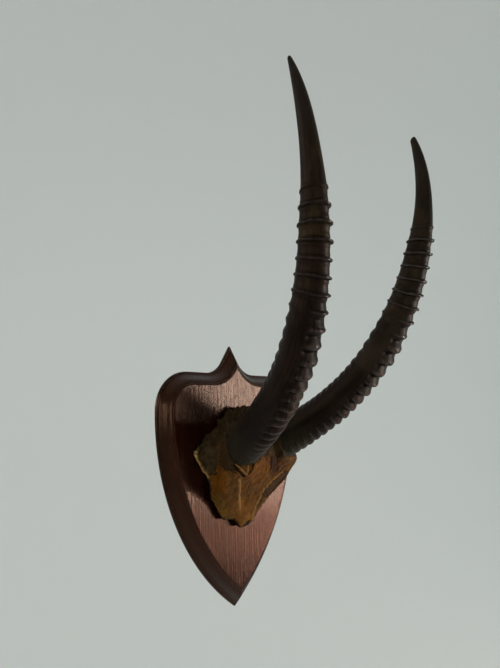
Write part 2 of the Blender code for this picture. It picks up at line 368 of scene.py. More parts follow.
def through_five(values, u):
    """The smooth curve through five values set at 0, 1/4, 1/2, 3/4 and 1."""
    total = 0.0
    for i, value in enumerate(values):
        weight = 1.0
        for j in range(5):
            if j != i:
                weight *= (4 * u - j) / (i - j)
        total += value * weight
    return total


def horn_direction(u, hook=0.0):
    rise = through_five(RISE_ANGLES, u)
    splay = through_five(SPLAY_ANGLES, u) - hook * smoothstep(*HOOK_CHANGE, u)
    flat = -math.cos(splay) * math.cos(rise)
    return Vector((math.sin(splay), flat, math.cos(splay) * math.sin(rise)))


print("a horn leaves the skull along", [round(part, 2) for part in horn_direction(0.0)])

# %% [markdown]
# ## Where the rings stand
#
# Growth slows with age, and the oldest rings are at the tip: they are 22 mm apart above and close
# up to about 12 mm at the skull. They are counted from the first ring, below the smooth tip, down
# to the base.

# %% Rings
FIRST_RING = 0.4368
WIDE_SPACING = 0.0219
CLOSE_SPACING, CLOSE_GROWTH = 0.0120, 0.028
SPACING_CHANGE = (0.17, 0.23)


def ring_spacing(station):
    close = CLOSE_SPACING + CLOSE_GROWTH * station
    share = smoothstep(*SPACING_CHANGE, station)
    return close * (1 - share) + WIDE_SPACING * share


def ring_stations():
    """Crests from the first ring, below the smooth tip, down to the base."""
    rings = [FIRST_RING]
    while rings[-1] > CLOSE_SPACING:
        rings.append(rings[-1] - ring_spacing(rings[-1]))
    return rings[:-1]


rings = ring_stations()
print(len(rings), "rings, the lowest", round(rings[-1] * 1000), "mm above the bone")

# %% [markdown]
# ## The spine
#
# Each point of the spine carries, as attributes, all that the skin needs to know there: the radius
# over the crests, how deep the gaps are in front and behind, how far along the rings it is, and
# how the rings are tilted. Attributes are how numbers travel from Python into Geometry Nodes.

# %% Spine measures
CREST_RADII = (0.0340, 0.0300, 0.0263, 0.0186, 0.0024)
TIP_ROUNDING, TIP_BLUNTNESS = 0.004, 0.02
RINGS_END = (FIRST_RING - 0.04, FIRST_RING + 0.01)
FLANGES_BEGIN = (0.23, 0.33)
GROOVE_FRONT, GROOVE_BACK = 0.0048, 0.0023
BASE_RELIEF, BASE_RELIEF_FADE = 0.25, (0.0, 0.19)
SLIMMING, SLIM_FADE = 0.0036, (0.46, 0.60)
KNUCKLE_EXTRA, KNUCKLE_FADE = 0.0030, (0.24, 0.34)
RING_TILT_BASE, RING_TILT_TIP = 0.418, -0.294
RING_LEAN, LEAN_CHANGE = {"horn_left": -0.13, "horn_right": 0.0}, (0.2, 0.5)
RING_SKEW, SKEW_CHANGE = -0.18, (0.1, 0.4)
FLATNESS_BASE, FLATNESS_TIP = 1.045, 0.918


def ring_phase(station):
    """0 at the top ring, 1 at the next, and so on down; beyond the top ring it goes below 0."""
    if station >= rings[0]:
        return (rings[0] - station) / WIDE_SPACING
    for i, (ring, lower) in enumerate(zip(rings, rings[1:])):
        if station >= lower:
            return i + (ring - station) / (ring - lower)
    return len(rings) - 1 + (rings[-1] - station) / ring_spacing(rings[-1])


def measures_at(station, name, end):
    u = station / HORN_LENGTH
    past = max(0.0, station - (end - TIP_ROUNDING)) / TIP_ROUNDING
    ringed = 1 - smoothstep(*RINGS_END, station)
    near_base = BASE_RELIEF + (1 - BASE_RELIEF) * smoothstep(*BASE_RELIEF_FADE, station)
    slim = SLIMMING * (1 - smoothstep(*SLIM_FADE, station)) * (1 - ringed)
    low = 1 - smoothstep(*KNUCKLE_FADE, station)
    return {
        "crest": through_five(CREST_RADII, u) * math.sqrt(max(TIP_BLUNTNESS, 1 - past**2)),
        "gap_front": (GROOVE_FRONT + KNUCKLE_EXTRA * low) * near_base * ringed + slim,
        "gap_back": GROOVE_BACK * near_base * ringed + slim,
        "phase": ring_phase(station),
        "flange": smoothstep(*FLANGES_BEGIN, station),
        "tilt": RING_TILT_BASE
        + (RING_TILT_TIP - RING_TILT_BASE) * u
        + RING_LEAN[name] * smoothstep(*LEAN_CHANGE, u),
        "skew": RING_SKEW * smoothstep(*SKEW_CHANGE, u),
        "flatness": FLATNESS_BASE + (FLATNESS_TIP - FLATNESS_BASE) * u,
    }


half_way = measures_at(HORN_LENGTH / 2, "horn_left", HORN_LENGTH)
print("half way up:", {measure: round(value, 4) for measure, value in half_way.items()})

# %% Spine
STATIONS = 700
SPINE_MEASURES = tuple(half_way)


def make_spine(name):
    end = HORN_LENGTH - WORN_TIP[name]
    step = end / STATIONS
    place, points, directions, rows = HORN_BASE.copy(), [], [], []
    for i in range(STATIONS + 1):
        station = i * step
        direction = horn_direction(station / HORN_LENGTH, TIP_HOOK[name])
        points.append(place.copy())
        directions.append(direction)
        rows.append(measures_at(station, name, end))
        place += horn_direction((station + step / 2) / HORN_LENGTH, TIP_HOOK[name]) * step
    mesh = bpy.data.meshes.new(name + "_spine")
    mesh.from_pydata(points, [(i, i + 1) for i in range(STATIONS)], [])
    for measure in SPINE_MEASURES:
        column = mesh.attributes.new(measure, "FLOAT", "POINT")
        column.data.foreach_set("value", [row[measure] for row in rows])
    along = mesh.attributes.new("direction", "FLOAT_VECTOR", "POINT")
    along.data.foreach_set("vector", [number for d in directions for number in d])
    spine = bpy.data.objects.new(name + "_sheath", mesh)
    bpy.context.scene.collection.objects.link(spine)
    return spine


# %% [markdown]
# ## Horn keratin
#
# Old horn is nearly black, browner where it is thick with fibres, olive between the upper rings and
# lighter on the inner side of the arch. Hands and branches polish the crests, so their tops glint:
# there the shader has a clear coat. The front crests are painted lighter, partly as wear and partly
# as painted highlight, the crevices are darkened as painted shade, and the foot is dull. The skin
# below stores where each point lies round and along the horn as an attribute called fibre, and
# every streak follows that, not the room.

# %% Horn colours and patterns
HORN_BLACK = (0.0028, 0.0018, 0.0016, 1)
HORN_BROWN = (0.0094, 0.0055, 0.0041, 1)
HORN_OLIVE = (0.0161, 0.0109, 0.0050, 1)
HORN_TIP = (0.0115, 0.0094, 0.0078, 1)
HORN_AMBER = (0.0190, 0.0140, 0.0092, 1)
# lighter colour on the front crests: partly wear, partly painted highlight
HORN_RUBBED_HIGHLIGHT = (0.0321, 0.0231, 0.0204, 1)
HORN_DUST = (0.0287, 0.0225, 0.0179, 1)
# painted shade: near black laid in the crevices between the rings
HORN_CREVICE_SHADE = (0.0014, 0.0010, 0.0009, 1)
HORN_FOOT = (0.0124, 0.0102, 0.0062, 1)
HORN_PATTERNS = {
    # name: squeeze along the fibres, scale, detail, roughness
    "streaks": (0.07, 330, 4.0, 0.6),
    "mottle": (0.5, 38, 4.0, 0.55),
    "clouds": (0.8, 22, 3.0, 0.5),
    "dirt": (1.0, 420, 3.0, 0.6),
}
HORN_RAMPS = {
    # name: from, to, what the ramp gives there; along runs from 0 at the bone to 1 at the tip
    "brown": (0.38, 0.62, 0.0, 1.0),
    "olive": (0.50, 0.66, 0.0, 1.0),
    "above the knuckles": (0.30, 0.50, 0.0, 1.0),
    "below the tip": (0.95, 0.75, 0.0, 1.0),
    "tip": (0.72, 0.98, 0.0, 0.8),
    "inner side": (0.0, 0.9, 0.0, 1.0),
    "amber above the foot": (0.10, 0.40, 0.0, 1.0),
    "amber in clouds": (0.38, 0.60, 0.25, 0.8),
    "amber below the tip": (0.62, 0.82, 1.0, 0.45),
    "rubbed fibres": (0.40, 0.62, 0.15, 1.0),
    "dust": (0.62, 0.80, 0.0, 0.35),
    "foot": (-0.01, 0.09, 0.85, 0.0),
    "dull": (0.30, 0.75, 0.33, 0.50),
    "crest tops": (0.82, 0.98, 0.0, 1.0),
    "polish above the foot": (0.10, 0.40, 0.7, 1.0),
    "polish on the inner side": (-0.4, 0.4, 0.3, 1.0),
}
STREAK_SHARE, CREVICE_SHADE_SHARE, CREST_POLISH = 0.6, 0.85, 0.34
RAGGED_FOOT, DIRT_RELIEF = -0.06, 0.3
HORN_BUMP = (0.0006, 0.55)
HORN_SHADER = {
    "Specular IOR Level": 0.060,
    "Specular Tint": (1.0, 0.64, 0.44, 1),
    "Coat Roughness": 0.10,
    "Coat Tint": (1.0, 0.88, 0.84, 1),
}
print(len(HORN_PATTERNS), "patterns and", len(HORN_RAMPS), "ramps for the horn")

# %% Horn finish


def horn_finish():
    made, tree, shader = new_material("dark horn")
    ramp = ramps(tree, HORN_RAMPS)
    fibre = attribute(tree, "fibre", "Vector")
    crest, along = attribute(tree, "ring_height"), attribute(tree, "along")
    streaks, mottle, clouds, dirt = patterns(tree, fibre, HORN_PATTERNS)
    round_place = vector_calc(tree, "NORMALIZE", vector_calc(tree, "MULTIPLY", fibre, (1, 1, 0)))
    inner = add(tree, "ShaderNodeSeparateXYZ", {"Vector": round_place}).outputs[1]

    grown = plus(tree, times(tree, streaks, STREAK_SHARE), times(tree, clouds, 1 - STREAK_SHARE))
    colour = blend(tree, ramp("brown", grown), HORN_BLACK, HORN_BROWN)
    upper = times(tree, ramp("above the knuckles", along), ramp("below the tip", along))
    olive = times(tree, ramp("olive", mottle), minus(tree, 1.0, crest), upper)
    colour = blend(tree, olive, colour, HORN_OLIVE)
    colour = blend(tree, ramp("tip", along), colour, HORN_TIP)
    amber = times(tree, ramp("inner side", inner), ramp("amber above the foot", along))
    amber = times(tree, amber, ramp("amber in clouds", clouds), ramp("amber below the tip", along))
    colour = blend(tree, amber, colour, HORN_AMBER)
    # the front crests are painted lighter, partly as wear and partly as painted highlight
    rubbed_and_highlight = times(tree, attribute(tree, "knuckle"), ramp("rubbed fibres", streaks))
    colour = blend(tree, rubbed_and_highlight, colour, HORN_RUBBED_HIGHLIGHT)
    colour = blend(tree, ramp("dust", dirt), colour, HORN_DUST)
    # the crevices are darkened to near black as painted shade
    colour = blend(tree, times(tree, attribute(tree, "crevice"), CREVICE_SHADE_SHARE), colour, HORN_CREVICE_SHADE)
    foot = ramp("foot", plus(tree, along, times(tree, mottle, RAGGED_FOOT)))
    colour = blend(tree, foot, colour, HORN_FOOT)

    polish = times(tree, ramp("crest tops", crest), ramp("polish above the foot", along))
    polish = times(tree, polish, ramp("polish on the inner side", inner), CREST_POLISH)
    feed(tree, shader.inputs["Coat Weight"], polish)
    relief = plus(tree, streaks, times(tree, dirt, DIRT_RELIEF))
    finish_with(tree, shader, colour, ramp("dull", streaks), relief, HORN_BUMP, HORN_SHADER)
    return made


HORN = horn_finish()
print("horn finish:", len(HORN.node_tree.nodes), "nodes")

# %% [markdown]
# ## The skin, by Geometry Nodes
#
# The skin starts as a plain closed cylinder. Its height says which spine point a loop belongs to,
# its angle says where on the loop it is, with x = -1 on the bulging front. Set Position will move
# each point to the spine plus a radius. First come the tree's named inputs, then helpers which
# read a measure from the spine, find a place and keep a measure on the skin.

# %% Skin inputs
SIDES = 128
HORN_INPUTS = (
    # name, kind, value
    ("Sides", "NodeSocketInt", SIDES),
    ("Stations", "NodeSocketInt", STATIONS),
    ("Mirror", "NodeSocketFloat", 1.0),
    ("Seed", "NodeSocketFloat", 0.0),
    ("Flange Foot", "NodeSocketFloat", 0.17),
    ("Flange Top", "NodeSocketFloat", 0.04),
    ("Saucer", "NodeSocketFloat", 0.22),
    ("Ring Wobble", "NodeSocketFloat", 0.10),
    ("Ring Variation", "NodeSocketFloat", 0.35),
    ("Ring Droop", "NodeSocketFloat", 0.07),
    ("Smooth Side", "NodeSocketFloat", 0.5),
    ("Fibre Depth", "NodeSocketFloat", 0.0004),
    ("Material", "NodeSocketMaterial", None),
)


def tree_inputs(tree):
    tree.interface.new_socket("Geometry", in_out="INPUT", socket_type="NodeSocketGeometry")
    for name, kind, value in HORN_INPUTS:
        socket = tree.interface.new_socket(name, in_out="INPUT", socket_type=kind)
        if value is not None:
            socket.default_value = value
    tree.interface.new_socket("Geometry", in_out="OUTPUT", socket_type="NodeSocketGeometry")
    return tree.nodes.new("NodeGroupInput").outputs


print(len(HORN_INPUTS), "named inputs:", [name for name, _, _ in HORN_INPUTS])

# %% Skin helpers


def from_spine(tree, spine, index, field, kind):
    """Reads a measure at one point of the spine."""
    made = add(tree, "GeometryNodeSampleIndex", data_type=kind, domain="POINT")
    tree.links.new(spine, pick(made.inputs, "Geometry"))
    feed(tree, pick(made.inputs, "Value"), field)
    feed(tree, pick(made.inputs, "Index"), index)
    return pick(made.outputs, "Value")


def named(tree, name, kind="FLOAT"):
    made = add(tree, "GeometryNodeInputNamedAttribute", {"Name": name}, data_type=kind)
    return pick(made.outputs, "Attribute")


def store(tree, geometry, name, value, kind):
    made = add(tree, "GeometryNodeStoreNamedAttribute", data_type=kind, domain="POINT")
    tree.links.new(geometry, made.inputs["Geometry"])
    made.inputs["Name"].default_value = name
    feed(tree, pick(made.inputs, "Value"), value)
    return made.outputs["Geometry"]


def position(tree):
    return tree.nodes.new("GeometryNodeInputPosition").outputs[0]


def combined(tree, x=0.0, y=0.0, z=0.0):
    return add(tree, "ShaderNodeCombineXYZ", {"X": x, "Y": y, "Z": z}).outputs[0]


# %% [markdown]
# ## Where a point lies on the rings
#
# The spine's phase counts rings: it is whole on a crest and half way between two in a gap. A slow
# wobble keeps each ring from being a true plane, and a droop sets its sharp edge a little low.

# %% Place on the rings
WOBBLE_SCALE, WOBBLE_STEP, WOBBLE_SWING = 1.3, 0.7, 2.0


def place_round(tree, x, y, measure, group):
    """What the wobble reads: the place on the loop, and a slow step from ring to ring."""
    step = plus(tree, times(tree, measure["phase"], WOBBLE_STEP), group["Seed"])
    return combined(tree, x, y, step)


def place_on_rings(tree, around, measure, group):
    """The wobbled phase, the nearest ring and the distance from it in ring spacings."""
    wobble = minus(tree, noise(tree, around, WOBBLE_SCALE, 2.0), 0.5)
    wobble = times(tree, wobble, group["Ring Wobble"], WOBBLE_SWING)
    phase = plus(tree, measure["phase"], wobble)
    nearest = larger(tree, calc(tree, "ROUND", phase), 0.0)
    signed = minus(tree, phase, nearest)
    droop = times(tree, calc(tree, "COSINE", times(tree, signed, math.pi)), group["Ring Droop"])
    offset = smaller(tree, calc(tree, "ABSOLUTE", minus(tree, signed, droop)), 0.5)
    return phase, nearest, offset


# %% [markdown]
# ## Two kinds of ring
#
# Upper rings are narrow flanges on a shallow saucer, with a crevice at the flange's foot. Lower ones
# are rounded knuckles with a groove between them. The spine's measure called flange blends the one
# into the other, and the topmost ring is only part grown.

# %% Ring shapes
SKIN_RAMPS = {
    # name: from, to, what the ramp gives there
    "saucer": (0.10, 0.50, 1.0, 0.0),
    "groove": (0.28, 0.46, 0.0, 1.0),
    "top ring": (-0.2, 0.9, 0.35, 1.0),
    "front edge": (0.48, 0.86, 0.0, 1.0),
    "hind edge": (0.35, 0.85, 0.0, 1.0),
    "rubbed_and_highlight": (0.70, 1.0, 0.0, 1.0),
}
CREVICE_WIDTH, CREVICE_DEPTH = 0.05, 0.12
KNUCKLE_ARCH, KNUCKLE_POWER = 3.1, 1.25


def ring_shapes(tree, phase, offset, measure, group):
    """Height from 0 in a gap to 1 on a crest, and how deep in a crevice the point lies."""
    ramp = ramps(tree, SKIN_RAMPS)
    bead = ramp_between(tree, offset, group["Flange Top"], group["Flange Foot"], 1.0, 0.0)
    saucer = times(tree, ramp("saucer", offset), group["Saucer"])
    foot = calc(tree, "DIVIDE", minus(tree, offset, group["Flange Foot"]), CREVICE_WIDTH)
    foot = calc(tree, "EXPONENT", times(tree, foot, foot, -1.0))
    flange = minus(tree, larger(tree, bead, saucer), times(tree, foot, CREVICE_DEPTH))
    arch = calc(tree, "COSINE", times(tree, offset, KNUCKLE_ARCH))
    knuckle = calc(tree, "POWER", arch, KNUCKLE_POWER)
    grown = ramp("top ring", phase)
    height = times(tree, blend_number(tree, measure["flange"], knuckle, flange), grown)
    crevice = times(tree, blend_number(tree, measure["flange"], ramp("groove", offset), foot), grown)
    return height, crevice


# %% [markdown]
# ## Round the horn and down to the fibres
#
# Upper rings go right round. Lower ones bulge in front, are a low edge behind, and fade to a smooth
# band at the sides. Each ring is a little higher or lower than the next, by a random number that
# its own count chooses. Last come the ridges of the fibres: noise that is fine round the horn and
# long along it.

# %% Radius of the skin
FRONT_TURN = -0.06
RIDGE_STRETCH, RIDGE_SCALE, RIDGE_LIMIT = (1, 1, 0.12), 150, 0.0004


def ring_radius(tree, x, y, nearest, height, measure, group):
    """The radius, how much of the rings shows at this angle, and the height that is left."""
    ramp = ramps(tree, SKIN_RAMPS)
    all_round = times(tree, minus(tree, 1.0, x), 0.5)
    turned = plus(tree, x, times(tree, y, FRONT_TURN))
    front_edge = ramp("front edge", times(tree, turned, -1.0))
    front = blend_number(tree, measure["flange"], front_edge, all_round)
    gap = blend_number(tree, front, measure["gap_back"], measure["gap_front"])
    shows = larger(tree, larger(tree, front, ramp("hind edge", x)), measure["flange"])
    height = blend_number(tree, shows, group["Smooth Side"], height)
    lucky = add(tree, "ShaderNodeTexWhiteNoise", noise_dimensions="1D")
    feed(tree, pick(lucky.inputs, "W"), plus(tree, nearest, group["Seed"]))
    vary = times(tree, minus(tree, lucky.outputs["Value"], 0.5), group["Ring Variation"])
    filled = times(tree, height, plus(tree, 1.0, vary))
    lowered = times(tree, gap, minus(tree, 1.0, filled))
    return minus(tree, measure["crest"], lowered), front, height


def fibre_place(tree, around, share, measure, group):
    """Metres round and along the horn, which the ridges and the finish read."""
    flat = vector_calc(tree, "MULTIPLY", around, (1, 1, 0))
    round_horn = vector_calc(tree, "SCALE", flat, measure["crest"])
    metres = plus(tree, times(tree, share, HORN_LENGTH), group["Seed"])
    return vector_calc(tree, "ADD", round_horn, combined(tree, z=metres))


def with_ridges(tree, radius, fibre, measure, group):
    ridges = noise(tree, vector_calc(tree, "MULTIPLY", fibre, RIDGE_STRETCH), RIDGE_SCALE, 3.0)
    radius = plus(tree, radius, times(tree, minus(tree, ridges, 0.5), group["Fibre Depth"]))
    return smaller(tree, radius, plus(tree, measure["crest"], RIDGE_LIMIT))


# %% [markdown]
# ## From the loop to the room
#
# Each spine point has three directions: along the horn, into its hollow side, and across. The point
# goes out by its radius in the last two, flattened a little, and along by the tilt of the rings.
# One input mirrors the horn for the other side.

# %% Place in the room


def place_in_room(tree, x, y, radius, middle, along, measure, group):
    hollow = vector_calc(tree, "NORMALIZE", vector_calc(tree, "CROSS_PRODUCT", along, (1, 0, 0)))
    across = vector_calc(tree, "CROSS_PRODUCT", along, hollow)
    root = calc(tree, "SQRT", measure["flatness"])
    toward = calc(tree, "DIVIDE", times(tree, radius, x), root)
    sideways = times(tree, radius, y, root)
    lift = plus(tree, times(tree, measure["tilt"], toward), times(tree, measure["skew"], sideways))
    point = middle
    for direction, reach in ((hollow, toward), (across, sideways), (along, lift)):
        point = vector_calc(tree, "ADD", point, vector_calc(tree, "SCALE", direction, reach))
    return vector_calc(tree, "MULTIPLY", point, combined(tree, group["Mirror"], 1.0, 1.0))


# %% [markdown]
# ## The whole skin tree
#
# The steps above, one after the other. What the finish needs is kept on the points, and the tree
# ends in Realize Instances and Set Material.

# %% Horn skin tree
FLANGE_RUB_LOSS = 0.7


def skin_tree():
    tree = bpy.data.node_groups.new("Ringed horn skin", "GeometryNodeTree")
    group = tree_inputs(tree)
    spine = group["Geometry"]
    sizes = {"Vertices": group["Sides"], "Side Segments": group["Stations"], "Radius": 1.0, "Depth": 1.0}
    tube = add(tree, "GeometryNodeMeshCylinder", sizes, fill_type="NGON")
    x, y, z = add(tree, "ShaderNodeSeparateXYZ", {"Vector": position(tree)}).outputs
    share = plus(tree, z, 0.5)
    index = calc(tree, "ROUND", times(tree, share, group["Stations"]))
    measure = {m: from_spine(tree, spine, index, named(tree, m), "FLOAT") for m in SPINE_MEASURES}
    middle = from_spine(tree, spine, index, position(tree), "FLOAT_VECTOR")
    along = from_spine(tree, spine, index, named(tree, "direction", "FLOAT_VECTOR"), "FLOAT_VECTOR")

    around = place_round(tree, x, y, measure, group)
    phase, nearest, offset = place_on_rings(tree, around, measure, group)
    height, crevice = ring_shapes(tree, phase, offset, measure, group)
    radius, front, height = ring_radius(tree, x, y, nearest, height, measure, group)
    fibre = fibre_place(tree, around, share, measure, group)
    radius = with_ridges(tree, radius, fibre, measure, group)
    point = place_in_room(tree, x, y, radius, middle, along, measure, group)

    narrow = minus(tree, 1.0, times(tree, measure["flange"], FLANGE_RUB_LOSS))
    # where the front crests get the lighter colour: partly wear, partly painted highlight
    rubbed_and_highlight = times(tree, ramp_between(tree, height, *SKIN_RAMPS["rubbed_and_highlight"]), front, narrow)
    kept = (
        ("ring_height", height, "FLOAT"),
        # crevice also says where the finish paints shade
        ("crevice", times(tree, crevice, front), "FLOAT"),
        ("knuckle", rubbed_and_highlight, "FLOAT"),
        ("along", share, "FLOAT"),
        ("fibre", fibre, "FLOAT_VECTOR"),
    )
    skin = tube.outputs["Mesh"]
    for name, value, kind in kept:
        skin = store(tree, skin, name, value, kind)
    moved = add(tree, "GeometryNodeSetPosition", {"Geometry": skin, "Position": point})
    solid = add(tree, "GeometryNodeRealizeInstances", {"Geometry": moved.outputs[0]})
    painted = add(tree, "GeometryNodeSetMaterial", {"Geometry": solid.outputs[0]})
    tree.links.new(group["Material"], painted.inputs["Material"])
    tree.links.new(painted.outputs[0], tree.nodes.new("NodeGroupOutput").inputs[0])
    return tree


skin = skin_tree()
print("horn skin tree:", len(skin.nodes), "nodes")

# %% [markdown]
# ## Baking the two horns
#
# The modifier sits on the spine. Evaluating it gives the skin, which is kept as a plain mesh, and
# the pair's tilt of 3.8 degrees is put into the mesh, so that the finished piece sits at the
# origin. The left horn is the right one's mirror image, so its faces are turned outward again.

# %% Horns
PAIR_TILT = math.radians(3.8)
PAIR = Matrix.Rotation(-PAIR_TILT, 4, "Y")
HORN_SIDE = {"horn_left": (-1.0, 3.7), "horn_right": (1.0, 11.2)}
SHARP_HORN = math.radians(70)


def set_inputs(modifier, values):
    for item in modifier.node_group.interface.items_tree:
        if item.item_type == "SOCKET" and item.in_out == "INPUT" and item.name in values:
            modifier[item.identifier] = values[item.name]


def bake(holder):
    """The evaluated mesh as a plain one, with the modifiers taken off."""
    graph = bpy.context.evaluated_depsgraph_get()
    mesh = bpy.data.meshes.new_from_object(holder.evaluated_get(graph), depsgraph=graph)
    holder.modifiers.clear()
    holder.data = mesh
    return mesh


def turn_outward(mesh):
    bm = bmesh.new()
    bm.from_mesh(mesh)
    bmesh.ops.recalc_face_normals(bm, faces=bm.faces)
    bm.to_mesh(mesh)
    bm.free()


def make_horn(name):
    mirror, seed = HORN_SIDE[name]
    sheath = make_spine(name)
    modifier = sheath.modifiers.new("skin", "NODES")
    modifier.node_group = skin
    set_inputs(modifier, {"Mirror": mirror, "Seed": seed, "Material": HORN})
    mesh = bake(sheath)
    mesh.transform(PAIR)
    turn_outward(mesh)
    mesh.shade_smooth()
    mesh.set_sharp_from_angle(angle=SHARP_HORN)
    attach(sheath, "root")
    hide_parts(name)
    print(name, len(mesh.vertices), "points")
    return sheath


for name in HORN_SIDE:
    make_horn(name)

# %% [markdown]
# ## The outline of the shield
#
# The board is cut from one plank. Its outline is arcs and straight lines, so moving it inwards is
# exact: a hollow arc gains the inset, a round one loses it, and the two tips are worked out again.

# %% Shield outline
SHIELD_HEIGHT = 0.450
SHIELD_HALF_WIDTH = 0.168
TOP_EDGE_Z = 0.174
PEAK_FLANK_ANGLE = math.radians(56)
PEAK_FOOT_RADIUS = 0.046
CORNER_RADIUS = 0.065
SIDE_CENTRE_Z = 0.102
FLANK_STEPS, PEAK_STEPS, CORNER_STEPS, SIDE_STEPS = 4, 24, 28, 70

flank_sin, flank_cos = math.sin(PEAK_FLANK_ANGLE), math.cos(PEAK_FLANK_ANGLE)
foot_z = TOP_EDGE_Z + PEAK_FOOT_RADIUS
foot_x = (PEAK_FOOT_RADIUS - (foot_z - SHIELD_HEIGHT / 2) * flank_cos) / flank_sin
tip_drop = SIDE_CENTRE_Z + SHIELD_HEIGHT / 2
side_centre = (SHIELD_HALF_WIDTH**2 - tip_drop**2) / (2 * SHIELD_HALF_WIDTH)


def arc(centre, radius, start, end, steps):
    """Points on an arc; angles run from +x towards +z."""
    turns = [start + (end - start) * i / steps for i in range(steps + 1)]
    return [(centre[0] + radius * math.cos(t), centre[1] + radius * math.sin(t)) for t in turns]


def shield_half(inset):
    """(x, z) of the right half from the peak to the bottom tip, moved inwards by inset."""
    foot_radius = PEAK_FOOT_RADIUS + inset
    peak_z = foot_z + (foot_x * flank_sin - foot_radius) / flank_cos
    foot_end = math.pi * 1.5
    foot = arc((foot_x, foot_z), foot_radius, foot_end - PEAK_FLANK_ANGLE, foot_end, PEAK_STEPS)
    corner_centre = (SHIELD_HALF_WIDTH - CORNER_RADIUS, TOP_EDGE_Z - CORNER_RADIUS)
    corner = arc(corner_centre, CORNER_RADIUS - inset, math.pi / 2, 0, CORNER_STEPS)
    radius = SHIELD_HALF_WIDTH - side_centre - inset
    tip_turn = -math.acos(-side_centre / radius)
    side = arc((side_centre, SIDE_CENTRE_Z), radius, 0, tip_turn, SIDE_STEPS)
    shares = [i / FLANK_STEPS for i in range(FLANK_STEPS)]
    flank = [(foot[0][0] * share, peak_z + (foot[0][1] - peak_z) * share) for share in shares]
    points = flank + foot + corner + side
    points[-1] = (0.0, points[-1][1])
    return points


print("side arc radius", round(SHIELD_HALF_WIDTH - side_centre, 3))

# %% [markdown]
# ## Its moulding
#
# The edge is run with a moulding cutter: a square edge, a small arris, a hollow, a round and a fine
# step up to the face. Only its section is drawn. A loft of inward copies of the outline, at rising
# depths, then gives the moulding true mitres at the peak and at the foot.

# %% Moulding
SHIELD_THICKNESS = 0.023
MOULDING_WIDTH = 0.0215
EDGE_HEIGHT = 0.0045
FILLET_WIDTH = 0.0015
FACE_STEP, FACE_STEP_WIDTH = 0.0010, 0.0009
HOLLOW_SHARE, HOLLOW_RISE = 0.35, 0.30
ARRIS, EDGE_ROUNDING, FINE_STEP = 0.0004, 0.0006, 0.0002
FACE_MARGIN = 0.004
MOULDING_STEPS = 24


def moulding():
    """(inset, depth from the wall) across the edge, from the back to the face."""
    foot, top = EDGE_HEIGHT + FILLET_WIDTH, SHIELD_THICKNESS - FACE_STEP
    run = MOULDING_WIDTH - 2 * FILLET_WIDTH
    line = [(ARRIS, 0.0), (0.0, ARRIS), (0.0, EDGE_HEIGHT - EDGE_ROUNDING)]
    line += [(FINE_STEP, EDGE_HEIGHT - FINE_STEP), (EDGE_ROUNDING, EDGE_HEIGHT)]
    line.append((FILLET_WIDTH, EDGE_HEIGHT + FINE_STEP))
    for i in range(MOULDING_STEPS + 1):
        t = i / MOULDING_STEPS
        if t < HOLLOW_SHARE:
            rise = HOLLOW_RISE * (t / HOLLOW_SHARE) ** 2
        else:
            turn = math.pi / 2 * (t - HOLLOW_SHARE) / (1 - HOLLOW_SHARE)
            rise = HOLLOW_RISE + (1 - HOLLOW_RISE) * math.sin(turn)
        line.append((FILLET_WIDTH + FINE_STEP + run * t, foot + (top - foot) * rise))
    line.append((MOULDING_WIDTH - FACE_STEP_WIDTH, top + FINE_STEP / 2))
    line.append((MOULDING_WIDTH - ARRIS, SHIELD_THICKNESS - FINE_STEP))
    return line + [(MOULDING_WIDTH, SHIELD_THICKNESS), (MOULDING_WIDTH + FACE_MARGIN, SHIELD_THICKNESS)]


print(len(moulding()), "steps across the moulding")

# %% [markdown]
# ## Varnished mahogany
#
# The grain runs upright. Four sizes of noise, all squeezed so that they run long along Z, give the
# broad bands, the ribbons, the fine streaks that break up the sheen, and the pores. The old varnish
# is stained, so its mirror images are warm: that is the shader's specular tint.

# %% Wood finish
WOOD_DARK = (0.0029, 0.0007, 0.0004, 1)
WOOD_LIGHT = (0.0142, 0.0032, 0.0013, 1)
WOOD_CLOUD = (0.0052, 0.0012, 0.0006, 1)
WOOD_PORE = (0.0020, 0.0006, 0.0004, 1)
WOOD_PATTERNS = {
    # name: squeeze along the grain, scale, detail, roughness
    "bands": (0.12, 34, 3.0, 0.55),
    "streaks": (0.035, 420, 4.0, 0.65),
    "ribbons": (0.04, 260, 3.0, 0.6),
    "pores": (0.10, 1300, 2.0, 0.5),
    "clouds": (1.0, 7, 3.0, 0.5),
}
WOOD_RAMPS = {
    # name: from, to, what the ramp gives there
    "figure": (0.36, 0.62, 0.0, 1.0),
    "clouds": (0.35, 0.70, 0.0, 0.7),
    "pores": (0.58, 0.70, 0.0, 0.6),
    "dull streaks": (0.35, 0.65, 0.12, 0.21),
}
BAND_SHARE, STREAK_RELIEF, PORE_RELIEF = 0.55, 0.6, 0.25
WOOD_BUMP = (0.0006, 0.75)
WOOD_SHADER = {"Specular IOR Level": 0.305, "Specular Tint": (1.0, 0.54, 0.35, 1)}


def wood_finish():
    made, tree, shader = new_material("varnished mahogany")
    ramp = ramps(tree, WOOD_RAMPS)
    bands, streaks, ribbons, pores, clouds = patterns(tree, object_places(tree), WOOD_PATTERNS)
    figure = plus(tree, times(tree, bands, BAND_SHARE), times(tree, streaks, 1 - BAND_SHARE))
    colour = blend(tree, ramp("figure", figure), WOOD_DARK, WOOD_LIGHT)
    colour = blend(tree, ramp("clouds", clouds), colour, WOOD_CLOUD)
    colour = blend(tree, ramp("pores", pores), colour, WOOD_PORE)
    grain = plus(tree, times(tree, streaks, STREAK_RELIEF), times(tree, pores, PORE_RELIEF), ribbons)
    finish_with(tree, shader, colour, ramp("dull streaks", streaks), grain, WOOD_BUMP, WOOD_SHADER)
    return made


WOOD = wood_finish()
print("wood finish:", len(WOOD.node_tree.nodes), "nodes")

# %% [markdown]
# ## Lofting the board
#
# Each step of the moulding is one closed loop: the outline, moved in and up. Faces between
# neighbouring loops make the edge, and the first and last loop are filled as back and face.

# %% Shield
WELD = 0.00001
SHARP_MOULDING = math.radians(28)


